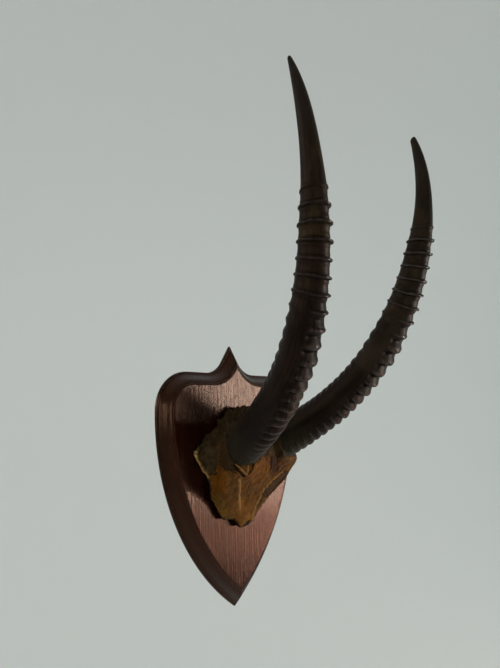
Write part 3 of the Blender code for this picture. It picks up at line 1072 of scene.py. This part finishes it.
def make_shield():
    bm = bmesh.new()
    loops = []
    for inset, depth in moulding():
        half = shield_half(inset)
        loop = half + [(-x, z) for x, z in half[-2:0:-1]]
        loops.append([bm.verts.new((x, -depth, z)) for x, z in loop])
    for lower, upper in zip(loops, loops[1:]):
        for i in range(len(lower)):
            j = (i + 1) % len(lower)
            bm.faces.new((lower[i], lower[j], upper[j], upper[i]))
    bm.faces.new(loops[0][::-1])
    bm.faces.new(loops[-1])
    bmesh.ops.remove_doubles(bm, verts=bm.verts, dist=WELD)
    bmesh.ops.recalc_face_normals(bm, faces=bm.faces)
    mesh = bpy.data.meshes.new("shield_board")
    bm.to_mesh(mesh)
    bm.free()
    mesh.materials.append(WOOD)
    mesh.shade_smooth()
    mesh.set_sharp_from_angle(angle=SHARP_MOULDING)
    board = bpy.data.objects.new("shield_board", mesh)
    bpy.context.scene.collection.objects.link(board)
    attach(board, "root")
    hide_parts("shield")
    print("shield", len(mesh.vertices), "points")


make_shield()

# %% [markdown]
# ## The skull cap: clay first
#
# Bone follows no rule, so this piece is sculpted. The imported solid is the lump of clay: a copy is
# welded, remeshed to an even fine grid and smoothed, which melts its facets. Later cells press
# marks into it, and at the end it is trimmed flat again where it meets the board and the horns.

# %% Bone clay
VOXEL = 0.0012
SMOOTH_SHARE, SMOOTH_ROUNDS = 0.5, 16
FACET_WELD = 0.00002


def bone_clay():
    plain = bpy.data.objects["skull_cap"]
    mesh = plain.data.copy()
    mesh.name = "skull_bone"
    bm = bmesh.new()
    bm.from_mesh(mesh)
    bmesh.ops.remove_doubles(bm, verts=bm.verts, dist=FACET_WELD)
    bm.to_mesh(mesh)
    bm.free()
    mesh.materials.clear()
    lump = bpy.data.objects.new("skull_bone", mesh)
    bpy.context.scene.collection.objects.link(lump)
    remesh = lump.modifiers.new("even grid", "REMESH")
    remesh.mode = "VOXEL"
    remesh.voxel_size = VOXEL
    smooth = lump.modifiers.new("melt facets", "SMOOTH")
    smooth.factor = SMOOTH_SHARE
    smooth.iterations = SMOOTH_ROUNDS
    bake(lump)
    return lump


clay = bone_clay()
surface = BVHTree.FromObject(clay, bpy.context.evaluated_depsgraph_get())
print("clay", len(clay.data.vertices), "points")

# %% [markdown]
# ## Where the marks lie
#
# A mark is a line of pixels of the photograph. A ray through each pixel finds where it lies on the
# clay, so the mark sits on the bone from every side. Cracks and sutures are cuts, crests and rims
# are raised. A mark that both sides of a skull have is mirrored across its middle. A ray that
# passes the clay by gives no point.

# %% Marks
CRACKS = (
    # depth mm, half width mm, on both sides, pixels
    (3.6, 1.4, False, ((234.2, 465.8), (239.0, 471.2), (244.4, 477.2))),
    (3.0, 2.2, False, ((243.6, 476.0), (245.0, 477.4))),
    (4.0, 1.7, False, ((253.8, 463.6), (252.2, 468.5), (248.6, 474.6))),
    (2.6, 2.2, False, ((251.4, 469.6), (249.8, 472.8))),
    (2.0, 0.7, False, ((277.2, 455.5), (278.0, 464.0), (277.4, 472.5))),
    (1.4, 0.7, False, ((271.2, 456.5), (271.8, 464.0), (270.8, 469.5))),
    (1.8, 0.8, False, ((285.5, 466.0), (282.6, 468.6), (278.8, 472.6))),
    (1.0, 0.6, False, ((266.2, 459.0), (266.6, 465.0), (265.6, 471.0))),
    (1.6, 1.1, True, ((213.4, 474.8), (216.8, 473.0))),
    (1.2, 0.9, False, ((235.8, 473.0), (237.6, 474.4))),
    (1.0, 0.7, True, ((221.5, 465.5), (226.5, 469.6), (232.0, 470.8))),
)
RIDGES = (
    # height mm, half width mm, on both sides, pixels
    (1.6, 1.1, False, ((236.2, 464.4), (241.0, 469.0), (245.6, 473.6))),
    (1.2, 0.9, False, ((248.8, 463.5), (248.2, 468.0), (246.8, 474.0))),
    (1.7, 1.9, False, ((239.4, 479.0), (239.9, 487.0), (239.2, 496.0), (239.9, 508.0))),
    (2.6, 2.5, False, (
        (281.6, 472.4), (274.4, 478.0), (267.4, 485.2), (261.4, 492.8), (257.2, 501.0), (253.4, 511.0),
        (251.6, 519.0))),
    (2.4, 1.8, True, ((196.0, 450.0), (196.8, 458.8), (200.6, 465.6), (204.6, 471.6), (208.6, 476.8))),
)
print(len(CRACKS), "cracks and", len(RIDGES), "ridges chosen")

# %% Marks on the clay
NO_LENGTH = 1e-12


def on_bone(pixel):
    """The point of the clay that a pixel of the photograph shows."""
    hit = surface.ray_cast(EYE, ray_through(pixel))[0]
    return None if hit is None else np.array(hit)


pair_turn = np.array(PAIR.to_3x3())


def mirrored(places):
    """Across the middle plane of the pair, which is tilted with it."""
    turned = np.asarray(places) @ pair_turn
    return (turned * (-1, 1, 1)) @ pair_turn.T


def closely(pixels):
    """The same chain of pixels with a point every pixel or so, to follow the surface."""
    dense = [pixels[0]]
    for (x0, y0), (x1, y1) in zip(pixels, pixels[1:]):
        steps = max(1, round(math.hypot(x1 - x0, y1 - y0)))
        dense += [(x0 + (x1 - x0) * i / steps, y0 + (y1 - y0) * i / steps) for i in range(1, steps + 1)]
    return dense


def mark_lines(marks):
    """(depth, half width, chain of points on the clay) of each mark, twice if on both sides."""
    found = []
    for depth, width, both, pixels in marks:
        chain = np.array([p for p in (on_bone(pixel) for pixel in closely(pixels)) if p is not None])
        found.append((depth / 1000, width / 1000, chain))
        if both:
            found.append((depth / 1000, width / 1000, mirrored(chain)))
    return found


def distance_to_line(places, line):
    """Each place's distance to a chain of straight stretches."""
    nearest = np.full(len(places), np.inf)
    for start, end in zip(line, line[1:]):
        run = end - start
        share = np.clip((places - start) @ run / max(run @ run, NO_LENGTH), 0, 1)
        nearest = np.minimum(nearest, np.linalg.norm(places - start - share[:, None] * run, axis=1))
    return nearest


crack_lines, ridge_lines = mark_lines(CRACKS), mark_lines(RIDGES)
print(len(crack_lines), "cracks and", len(ridge_lines), "ridges on the clay")

# %% [markdown]
# ## Finer clay at the marks
#
# A crack is thinner than the even grid. Splitting only the edges close to a fine mark gives it four
# times as many faces there and costs none elsewhere.

# %% Finer clay
FINE_REACH = 0.0028


def refine(lump):
    bm = bmesh.new()
    bm.from_mesh(lump.data)
    bm.edges.ensure_lookup_table()
    middles = np.array([(e.verts[0].co + e.verts[1].co) / 2 for e in bm.edges])
    close = np.full(len(middles), np.inf)
    for _, width, line in crack_lines + ridge_lines:
        if width < FINE_REACH / 2:
            close = np.minimum(close, distance_to_line(middles, line))
    picked = [bm.edges[i] for i in np.nonzero(close < FINE_REACH)[0]]
    bmesh.ops.subdivide_edges(bm, edges=picked, cuts=1, use_grid_fill=True)
    bmesh.ops.triangulate(bm, faces=[f for f in bm.faces if len(f.verts) > 4])
    bm.to_mesh(lump.data)
    bm.free()


def column_of(mesh, name):
    values = np.empty(len(mesh.vertices) * 3)
    mesh.vertices.foreach_get(name, values)
    return values.reshape(-1, 3)


refine(clay)
points, normals = column_of(clay.data, "co"), column_of(clay.data, "normal")
count = len(points)
print("clay", count, "points,", sum(len(p.vertices) - 2 for p in clay.data.polygons), "triangles")

# %% [markdown]
# ## Zones of the bone
#
# Where skin and stain lie is a fact of this one skull, and some zones mark where shade is painted.
# Each zone is an outline in pixels of the photograph. Every clay point that faces the eye knows its
# own pixel, so it can ask how deep inside an outline it lies. Noise frays the borders, and zones
# that both sides have are mirrored.

# %% Zones
ZONES = {
    # name: (softness px, raggedness px, on both sides, outline px)
    "membrane": (1.5, 0.9, True, (
        (198.5, 448.5), (205, 443.5), (213, 444.5), (218, 448), (218, 456), (216.5, 465), (214.5, 472.5),
        (210.5, 475), (205.5, 470.5), (201, 463.5), (198.3, 457))),
    "shaded pedicle": (1.8, 1.4, True, (
        (214, 434), (242, 424), (240, 455), (243, 463), (241, 469), (234, 472.5), (226, 470), (219, 464.5),
        (217.5, 448))),
    "rim": (0.8, 0.5, True, (
        (194, 448), (198.4, 448.5), (198.2, 457.5), (201.8, 464.5), (206, 471), (210, 475.5),
        (208.5, 479.5), (203.5, 474), (198.5, 467), (194, 460))),
    "left gold": (2.5, 1.6, False, (
        (209, 477), (216, 475), (224, 473), (229, 480), (230, 490), (226, 495), (214, 492), (211, 485))),
    "grey green": (2.2, 1.6, False, (
        (210, 494), (222, 497), (229, 505), (234, 514), (235, 526), (224, 518), (212, 506))),
    "left flank shade": (1.2, 0.8, True, ((204, 478), (209.5, 480), (211.5, 488), (211.5, 498), (205, 499))),
    "left shaded valley": (2.5, 1.4, False, ((228, 474), (238, 477), (237.5, 500), (231, 502), (226.5, 488))),
    "middle gold": (2.5, 1.6, False, (
        (241, 482), (252, 478), (258, 484), (256, 496), (252, 506), (243, 510))),
    "right shaded valley": (2.2, 1.2, False, ((242, 480), (248, 478), (251.5, 487), (246.5, 505), (242, 507))),
    "front gold": (2.0, 1.3, False, (
        (252, 465), (259, 459.5), (267, 455), (270, 462), (269.5, 472), (262, 479), (255, 484),
        (250.5, 477))),
    "cracked brown": (1.6, 1.2, False, (
        (269, 454), (279.5, 449), (279.5, 462), (279, 471), (273.5, 475), (270, 472))),
    "pink": (1.4, 1.0, False, ((279.2, 463.5), (285.5, 460.5), (288, 465), (284.5, 469), (280, 471))),
    "far edge gold": (1.6, 1.0, False, (
        (288, 456.5), (299, 454), (299, 464), (292, 472), (286.5, 470), (289, 464))),
    "far shade": (1.5, 1.0, False, (
        (284, 471.5), (290, 472), (286, 486), (275, 495), (262, 499), (259, 506), (256.5, 505),
        (261, 494.5), (267, 487), (274, 480.5))),
    "stub gold": (2.2, 1.2, False, (
        (236, 500), (255, 497), (254, 512), (251, 526), (238, 529), (236, 514))),
    "stub foot shadow": (0.9, 0.9, False, (
        (220, 508), (228, 513), (234, 517), (240, 519.5), (252, 520.5), (252, 532), (236, 532),
        (216, 518))),
    "shade between horns": (2.0, 1.5, False, (
        (255, 458), (266, 451), (273, 430), (292, 425), (296, 455), (288, 457.5), (279, 456.5), (270, 455),
        (262, 458))),
    "rib shade": (1.6, 1.2, False, ((239, 463), (251, 461), (249.5, 470), (246.5, 473.5))),
}
print(len(ZONES), "zones outlined")

# %% Fields over the clay
WAVES, WAVE_SPREAD = 26, (0.6, 1.6)
FACES_EYE = (-0.05, 0.15)


def between(low, high, values):
    """0 up to low, 1 from high on, and a straight line between them; high may be the lower one."""
    return np.clip((values - low) / (high - low), 0, 1)


def noise_values(scale, seed):
    """Smooth random numbers about 0 at every clay point: a sum of a few random waves."""
    maker = np.random.default_rng(seed)
    total = np.zeros(count)
    for _ in range(WAVES):
        wave = maker.normal(size=3)
        wave = wave / np.linalg.norm(wave) * scale * maker.uniform(*WAVE_SPREAD)
        total += np.sin(points @ wave * math.pi + maker.uniform(0, 2 * math.pi))
    return total / math.sqrt(WAVES / 2)


def pixels_of(places):
    away = places - np.array(EYE)
    depth = away @ np.array(ahead)
    across = PHOTO_WIDTH / 2 + FOCAL_PIXELS * (away @ np.array(right)) / depth
    down = PHOTO_HEIGHT / 2 - FOCAL_PIXELS * (away @ np.array(up)) / depth
    return np.stack([across, down], axis=1)


def facing_eye(places, directions):
    towards = np.array(EYE) - places
    cosine = np.einsum("ij,ij->i", directions, towards) / np.linalg.norm(towards, axis=1)
    return between(*FACES_EYE, cosine)


def depth_inside(outline, seen_at):
    """Pixels from the outline's edge, positive inside it."""
    corners = np.array(outline, float)
    nearest, within = np.full(len(seen_at), np.inf), np.zeros(len(seen_at), bool)
    for start, end in zip(corners, np.roll(corners, -1, axis=0)):
        run = end - start
        share = np.clip((seen_at - start) @ run / (run @ run), 0, 1)
        nearest = np.minimum(nearest, np.linalg.norm(seen_at - start - share[:, None] * run, axis=1))
        crosses = (start[1] > seen_at[:, 1]) != (end[1] > seen_at[:, 1])
        meets = start[0] + (seen_at[:, 1] - start[1]) / (run[1] or 1.0) * run[0]
        within ^= crosses & (seen_at[:, 0] < meets)
    return np.where(within, nearest, -nearest)


print("in view:", int((facing_eye(points, normals) > 0.5).sum()), "of", count, "points")

# %% Zone masks
FRAY_SCALE = 260
CRUST_EDGE, CRUST_SLOPE, CRUST_SOFTNESS, CRUST_FRAY, CRUST_SEED = 0.0295, 0.5, 0.0035, 0.0015, 71

sides = [
    (pixels_of(points), facing_eye(points, normals)),
    (pixels_of(mirrored(points)), facing_eye(mirrored(points), mirrored(normals))),
]


def zone_mask(softness, raggedness, both, outline, seed):
    mask = np.zeros(count)
    for seen_at, facing in sides if both else sides[:1]:
        depth = depth_inside(outline, seen_at) + raggedness * noise_values(FRAY_SCALE, seed)
        mask = np.maximum(mask, facing * between(-softness, softness, depth))
    return mask


def crust_mask():
    """Dried skin covers the rear and the top, above a slanting line round the horns."""
    upright_places = points @ pair_turn
    over = upright_places[:, 2] + CRUST_SLOPE * upright_places[:, 1] - CRUST_EDGE
    over += CRUST_FRAY * noise_values(FRAY_SCALE, CRUST_SEED)
    return between(-CRUST_SOFTNESS / 2, CRUST_SOFTNESS / 2, over)


zones = {name: zone_mask(*zone, seed) for seed, (name, zone) in enumerate(ZONES.items())}
zones["shaded crust"] = crust_mask()
print("zones:", {name: int((mask > 0.5).sum()) for name, mask in zones.items()})

# %% [markdown]
# ## Pressing and roughening
#
# Now the clay is moved along its normals: in at cracks and hollows, out at crests, and in and out
# where dried skin makes it lumpy. A few swells then push its outline out or in, parallel to the
# board. All these are fields: one number or one step for every clay point.

# %% Relief measures
GAP = 0.0003
BONE_BACK = -(SHIELD_THICKNESS + GAP)
ZONE_DEPTHS = {
    # mm outward
    "membrane": -5.5, "shaded pedicle": -1.2, "far shade": -2.4, "rib shade": -1.2, "grey green": -0.8,
    "left shaded valley": -2.0, "right shaded valley": -1.8,
}
ZONE_BOWL = 1.5
# size mm, scale, seed
ROUGHNESS_LAYERS = ((0.9, 60, 11), (0.55, 150, 23), (0.25, 380, 37))
CRUST_LUMPS = ((2.2, 150, 61), (1.2, 330, 67), (0.5, 700, 69))
MEMBRANE_LUMPS = ((1.8, 170, 63), (1.0, 420, 65))
RAGGED_EDGE, RAGGED_SCALE, RAGGED_SEED, RAGGED_HEIGHT = 0.001, 170, 51, 0.014
SWELLS = (
    # outward mm, radius mm, on both sides, pixel
    (8.0, 20.0, False, (223.0, 513.0)),
    (-4.0, 17.0, True, (220.0, 424.0)),
    (-4.5, 10.0, False, (226.0, 415.0)),
    (10.0, 12.0, False, (247.0, 412.0)),
    (12.0, 14.0, False, (291.0, 462.0)),
    (7.0, 12.0, False, (244.0, 516.0)),
    (5.0, 12.0, False, (230.0, 512.0)),
    (7.0, 9.0, False, (241.0, 520.0)),
)
print(len(ZONE_DEPTHS), "zones are pressed or raised, and there are", len(SWELLS), "swells")

# %% Relief of the clay


def along_lines(lines, sign):
    """How far the marks move each point, and how strongly they mark it."""
    shift, strength = np.zeros(count), np.zeros(count)
    for depth, width, line in lines:
        near = np.exp(-((distance_to_line(points, line) / width) ** 2))
        shift = shift + sign * near * depth
        strength = np.maximum(strength, near)
    return shift, strength


def layered(layers):
    return sum(size / 2000 * noise_values(scale, seed) for size, scale, seed in layers)


def swells():
    """Pushes the outline out or in, parallel to the board, round a few places."""
    moved = np.zeros((count, 3))
    for reach, radius, both, pixel in SWELLS:
        centre = on_bone(pixel)
        for middle in [centre, mirrored(centre)] if both else [centre]:
            near = np.exp(-((np.linalg.norm(points - middle, axis=1) / (radius / 1000)) ** 2))
            outward = middle * (1, 0, 1)
            moved += near[:, None] * outward / np.linalg.norm(outward) * reach / 1000
    return moved


cuts, crack_mask = along_lines(crack_lines, -1)
rises, ridge_mask = along_lines(ridge_lines, 1)
hollows = sum(zones[name] ** ZONE_BOWL * depth / 1000 for name, depth in ZONE_DEPTHS.items())
skin_lumps = layered(CRUST_LUMPS) * zones["shaded crust"] + layered(MEMBRANE_LUMPS) * zones["membrane"]
near_board = between(RAGGED_HEIGHT, 0, BONE_BACK - points[:, 1])
ragged = RAGGED_EDGE * noise_values(RAGGED_SCALE, RAGGED_SEED) * near_board
relief = cuts + rises + hollows + layered(ROUGHNESS_LAYERS) + skin_lumps + ragged
print("relief from", round(float(relief.min()) * 1000, 1), "to", round(float(relief.max()) * 1000, 1), "mm")

# %% [markdown]
# ## Undercut, collar and true flats
#
# Under the lower edge the bone curls back from the board, which leaves a dark gap. Skin is heaped
# in a collar against the foot of each horn. Last, the flat back, 0.3 mm off the board, and each
# horn's seat are made true again, so that nothing pokes through.

# %% Seats of the horns


def seat_planes():
    """Middle and outward direction of the two flats that the horns stand on."""
    planes = []
    along = horn_direction(0.0)
    hollow = along.cross(Vector((1, 0, 0))).normalized()
    normal = (along - hollow * RING_TILT_BASE).normalized()
    for side in (-1, 1):
        flip = Matrix.Diagonal((side, 1, 1, 1))
        planes.append((np.array(PAIR @ flip @ HORN_BASE), np.array((PAIR @ flip).to_3x3() @ normal)))
    return planes


def beside_seat(places, middle, normal):
    """How far places lie above a seat, and away from its middle line."""
    offset = places - middle
    above = offset @ normal
    return above, np.linalg.norm(offset - above[:, None] * normal, axis=1)


print("seats at", [[round(float(part), 3) for part in middle] for middle, _ in seat_planes()])

# %% Sculpt
UNDERCUT, UNDERCUT_HEIGHT = 0.0080, 0.0090
UNDERCUT_TOP, UNDERCUT_FULL, UNDERCUT_CORE = 0.008, -0.012, 0.05
SEAT_RADIUS, COLLAR_RADIUS, COLLAR_HEIGHT, COLLAR_REACH = 0.0350, 0.047, 0.0120, 0.014
COLLAR_EVEN, COLLAR_LUMPS, COLLAR_SCALE, COLLAR_SEED = 0.6, 0.4, 240, 83
BACK_REACH, SEAT_REACH = 0.0006, 0.02


def underside():
    """1 on the lower edge next to the board, fading to 0 at the height of the undercut."""
    close = between(UNDERCUT_HEIGHT, 0, BONE_BACK - points[:, 1])
    lower = between(UNDERCUT_TOP, UNDERCUT_FULL, points[:, 2])
    outer = between(0, UNDERCUT_CORE, np.linalg.norm(points[:, (0, 2)], axis=1))
    return close * lower * outer


def undercut(moved):
    """Draws the underside in."""
    inward = -points * (1, 0, 1)
    inward /= np.linalg.norm(inward, axis=1)[:, None]
    return moved + inward * (UNDERCUT * underside())[:, None]


def collar(moved):
    """Skin heaped against the foot of each horn, at its back and outer side."""
    lumps = COLLAR_EVEN + COLLAR_LUMPS * noise_values(COLLAR_SCALE, COLLAR_SEED)
    for middle, normal in seat_planes():
        above, away = beside_seat(points, middle, normal)
        ring = between(COLLAR_RADIUS, SEAT_RADIUS, away) * (away > SEAT_RADIUS)
        level_with_seat = between(COLLAR_REACH, 0, np.abs(above))
        heap = COLLAR_HEIGHT * ring * level_with_seat * zones["shaded crust"] * lumps
        moved = moved + normal * heap[:, None]
    return moved


def trimmed(moved):
    on_back = points[:, 1] > BONE_BACK - BACK_REACH
    moved[:, 1] = np.where(on_back, BONE_BACK, np.minimum(moved[:, 1], BONE_BACK))
    for middle, normal in seat_planes():
        above, away = beside_seat(moved, middle, normal)
        inside = (away < SEAT_RADIUS) & (above > -GAP) & (above < SEAT_REACH)
        moved = moved - np.where(inside, above + GAP, 0)[:, None] * normal
    return moved


clay_after = trimmed(collar(undercut(points + normals * relief[:, None] + swells())))
clay.data.vertices.foreach_set("co", clay_after.astype(np.float32).ravel())
clay.data.update()
print("moved by up to", round(float(np.abs(clay_after - points).max()) * 1000, 1), "mm")

# %% [markdown]
# ## Colours of the zones
#
# Each zone has the colour of what lies there: bare gold bone, brown stain, grey-green dried skin,
# dark crust. Some zones are painted shade instead: the valleys beside the middle crest, the left
# flanks, the bone under the far horn, the far side beyond its crest and the foot of the stub, and
# the underside next to the board is painted shade too. The pedicles and the crust are partly
# darkened as painted shade. They are laid over each other like thin paint, and kept on the points
# as an attribute called tone. Small spots are chipped, pale bone.

# %% Zone colours
BONE_BASE = (0.0677, 0.0247, 0.0026)
ZONE_COLOURS = {
    "left gold": (0.0796, 0.0265, 0.0021),
    # darker as painted shade in the valley left of the middle crest
    "left shaded valley": (0.0587, 0.0217, 0.0023),
    "middle gold": (0.0805, 0.0293, 0.0029),
    # darker as painted shade in the valley right of the middle crest
    "right shaded valley": (0.0602, 0.0222, 0.0024),
    "front gold": (0.0948, 0.0319, 0.0031),
    "stub gold": (0.0888, 0.0324, 0.0034),
    "grey green": (0.0723, 0.0337, 0.0054),
    "far edge gold": (0.0790, 0.0288, 0.0034),
    "cracked brown": (0.0230, 0.0067, 0.0007),
    "pink": (0.0503, 0.0168, 0.0022),
    "far shade": (0.0293, 0.0115, 0.0024),
    "rib shade": (0.0640, 0.0252, 0.0054),
    # painted shade under the far horn, between the horns
    "shade between horns": (0.0190, 0.0097, 0.0031),
    # brown pedicle bone, partly darkened as painted shade under the horn's rim
    "shaded pedicle": (0.0179, 0.0082, 0.0027),
    # dried skin, partly darkened as painted shade at the rear and top
    "shaded crust": (0.0175, 0.0101, 0.0037),
    "rim": (0.0570, 0.0409, 0.0179),
    # painted shade on the left flank next to the board
    "membrane": (0.0293, 0.0182, 0.0076),
    "left flank shade": (0.0111, 0.0081, 0.0043),
    # near-black painted shadow along the stub's foot where it meets the board
    "stub foot shadow": (0.0050, 0.0026, 0.0010),
}
SHADED_UNDERSIDE, SHADE_CHANGE = (0.0040, 0.0022, 0.0010), (0.15, 0.40)
# share, scale, seed
TONE_CHANGES = ((0.13, 120, 91), (0.08, 320, 93))
DARKEST = 0.002

tone = np.tile(np.array(BONE_BASE), (count, 1))
for name, colour in ZONE_COLOURS.items():
    tone += zones[name][:, None] * (np.array(colour) - tone)
tone += between(*SHADE_CHANGE, underside())[:, None] * (np.array(SHADED_UNDERSIDE) - tone)
tone *= 1 + sum(share * noise_values(scale, seed) for share, scale, seed in TONE_CHANGES)[:, None]
print(len(ZONE_COLOURS), "zone colours, on average", tone.mean(axis=0).round(3))

# %% Chips and kept attributes
CHIPS = (
    # radius mm, strength, on both sides, pixel
    (2.4, 1.0, True, (196.6, 456.5)), (1.9, 0.9, True, (196.8, 452.0)), (1.5, 0.8, True, (203.0, 469.5)),
    (1.5, 0.8, True, (208.0, 476.0)), (1.4, 0.8, False, (212.8, 504.0)), (1.4, 0.8, False, (227.2, 516.6)),
    (1.3, 0.6, False, (239.2, 487.0)), (1.2, 0.6, True, (219.5, 436.5)), (1.2, 0.5, True, (212.0, 441.0)),
    (1.2, 0.4, True, (222.0, 421.0)),
)


def chip_mask():
    mask = np.zeros(count)
    for radius, strength, both, pixel in CHIPS:
        centre = on_bone(pixel)
        if centre is None:
            continue
        for middle in [centre, mirrored(centre)] if both else [centre]:
            near = np.linalg.norm(points - middle, axis=1) / (radius / 1000)
            mask = np.maximum(mask, strength * np.exp(-(near**2)))
    return mask


def keep_attribute(name, values, kind="FLOAT", field="value"):
    column = clay.data.attributes.new(name, kind, "POINT")
    column.data.foreach_set(field, values.astype(np.float32).ravel())


keep_attribute("tone", np.maximum(tone, DARKEST), "FLOAT_VECTOR", "vector")
keep_attribute("skin", np.maximum(zones["shaded crust"], zones["membrane"]))
keep_attribute("chips", chip_mask())
keep_attribute("crack", crack_mask)
keep_attribute("ridge", ridge_mask)
print(len(CHIPS), "chips, and attributes", [kept.name for kept in clay.data.attributes])

# %% [markdown]
# ## Old bone
#
# The finish starts from the tone and breaks it up: fine specks and streaks in the bone, grey-green
# flecks in the dried skin, pale crests that are partly rubbed bone and partly painted highlight,
# and black cracks. The fine relief is noise in the object's own space.

# %% Bone colours and patterns
# pale crests: partly rubbed bone, partly painted highlight
CREST_WEAR_AND_HIGHLIGHT = (0.2700, 0.1450, 0.0420, 1)
CHIP_COLOUR = (0.2550, 0.1880, 0.0770, 1)
FLECK_COLOUR = (0.0480, 0.0390, 0.0170, 1)
CRACK_COLOUR = (0.005, 0.0025, 0.001, 1)
BONE_PATTERNS = {
    # name: squeeze along Z, scale, detail, roughness
    "fine": (1.0, 330, 4.0, 0.65),
    "fibres": (0.22, 520, 3.0, 0.6),
    "blotches": (1.0, 110, 3.0, 0.55),
}
BONE_RAMPS = {
    # name: from, to, what the ramp gives there
    "specks": (0.36, 0.66, 1.12, 0.86),
    "streaks": (0.36, 0.66, 0.90, 1.12),
    "fleck patches": (0.54, 0.68, 0.0, 1.0),
    "fleck grains": (0.45, 0.62, 0.0, 1.0),
    "worn fibres": (0.35, 0.65, 0.45, 0.95),
    "chips": (0.25, 0.75, 0.0, 0.9),
    "cracks": (0.22, 0.62, 0.0, 1.0),
    "dull": (0.30, 0.70, 0.50, 0.75),
}
FLECK_SHARE, SKIN_COVER, FIBRE_RELIEF = 0.7, 0.6, 0.5
BONE_BUMP = (0.0008, 0.5)
BONE_SHADER = {"Specular IOR Level": 0.10, "Specular Tint": (1.0, 0.80, 0.50, 1)}
print(len(BONE_PATTERNS), "patterns and", len(BONE_RAMPS), "ramps for the bone")

# %% Bone finish


def bone_finish():
    made, tree, shader = new_material("old bone")
    ramp = ramps(tree, BONE_RAMPS)
    fine, fibres, blotches = patterns(tree, object_places(tree), BONE_PATTERNS)
    skin_share = attribute(tree, "skin")
    grain = times(tree, ramp("specks", fine), ramp("streaks", fibres))
    colour = vector_calc(tree, "SCALE", attribute(tree, "tone", "Vector"), grain)
    fleck = times(tree, ramp("fleck patches", blotches), ramp("fleck grains", fine))
    fleck = times(tree, fleck, skin_share, FLECK_SHARE)
    colour = blend(tree, fleck, colour, FLECK_COLOUR)
    bare = minus(tree, 1.0, times(tree, skin_share, SKIN_COVER))
    # ridges are painted pale, partly as wear and partly as painted highlight
    worn_and_highlight = times(tree, attribute(tree, "ridge"), ramp("worn fibres", fibres), bare)
    colour = blend(tree, worn_and_highlight, colour, CREST_WEAR_AND_HIGHLIGHT)
    colour = blend(tree, ramp("chips", attribute(tree, "chips")), colour, CHIP_COLOUR)
    colour = blend(tree, ramp("cracks", attribute(tree, "crack")), colour, CRACK_COLOUR)
    relief = plus(tree, fine, times(tree, fibres, FIBRE_RELIEF))
    finish_with(tree, shader, colour, ramp("dull", fine), relief, BONE_BUMP, BONE_SHADER)
    return made


BONE = bone_finish()
clay.data.materials.clear()
clay.data.materials.append(BONE)
clay.data.shade_smooth()
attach(clay, "root")
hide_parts("skull_cap")
print("bone finish:", len(BONE.node_tree.nodes), "nodes")
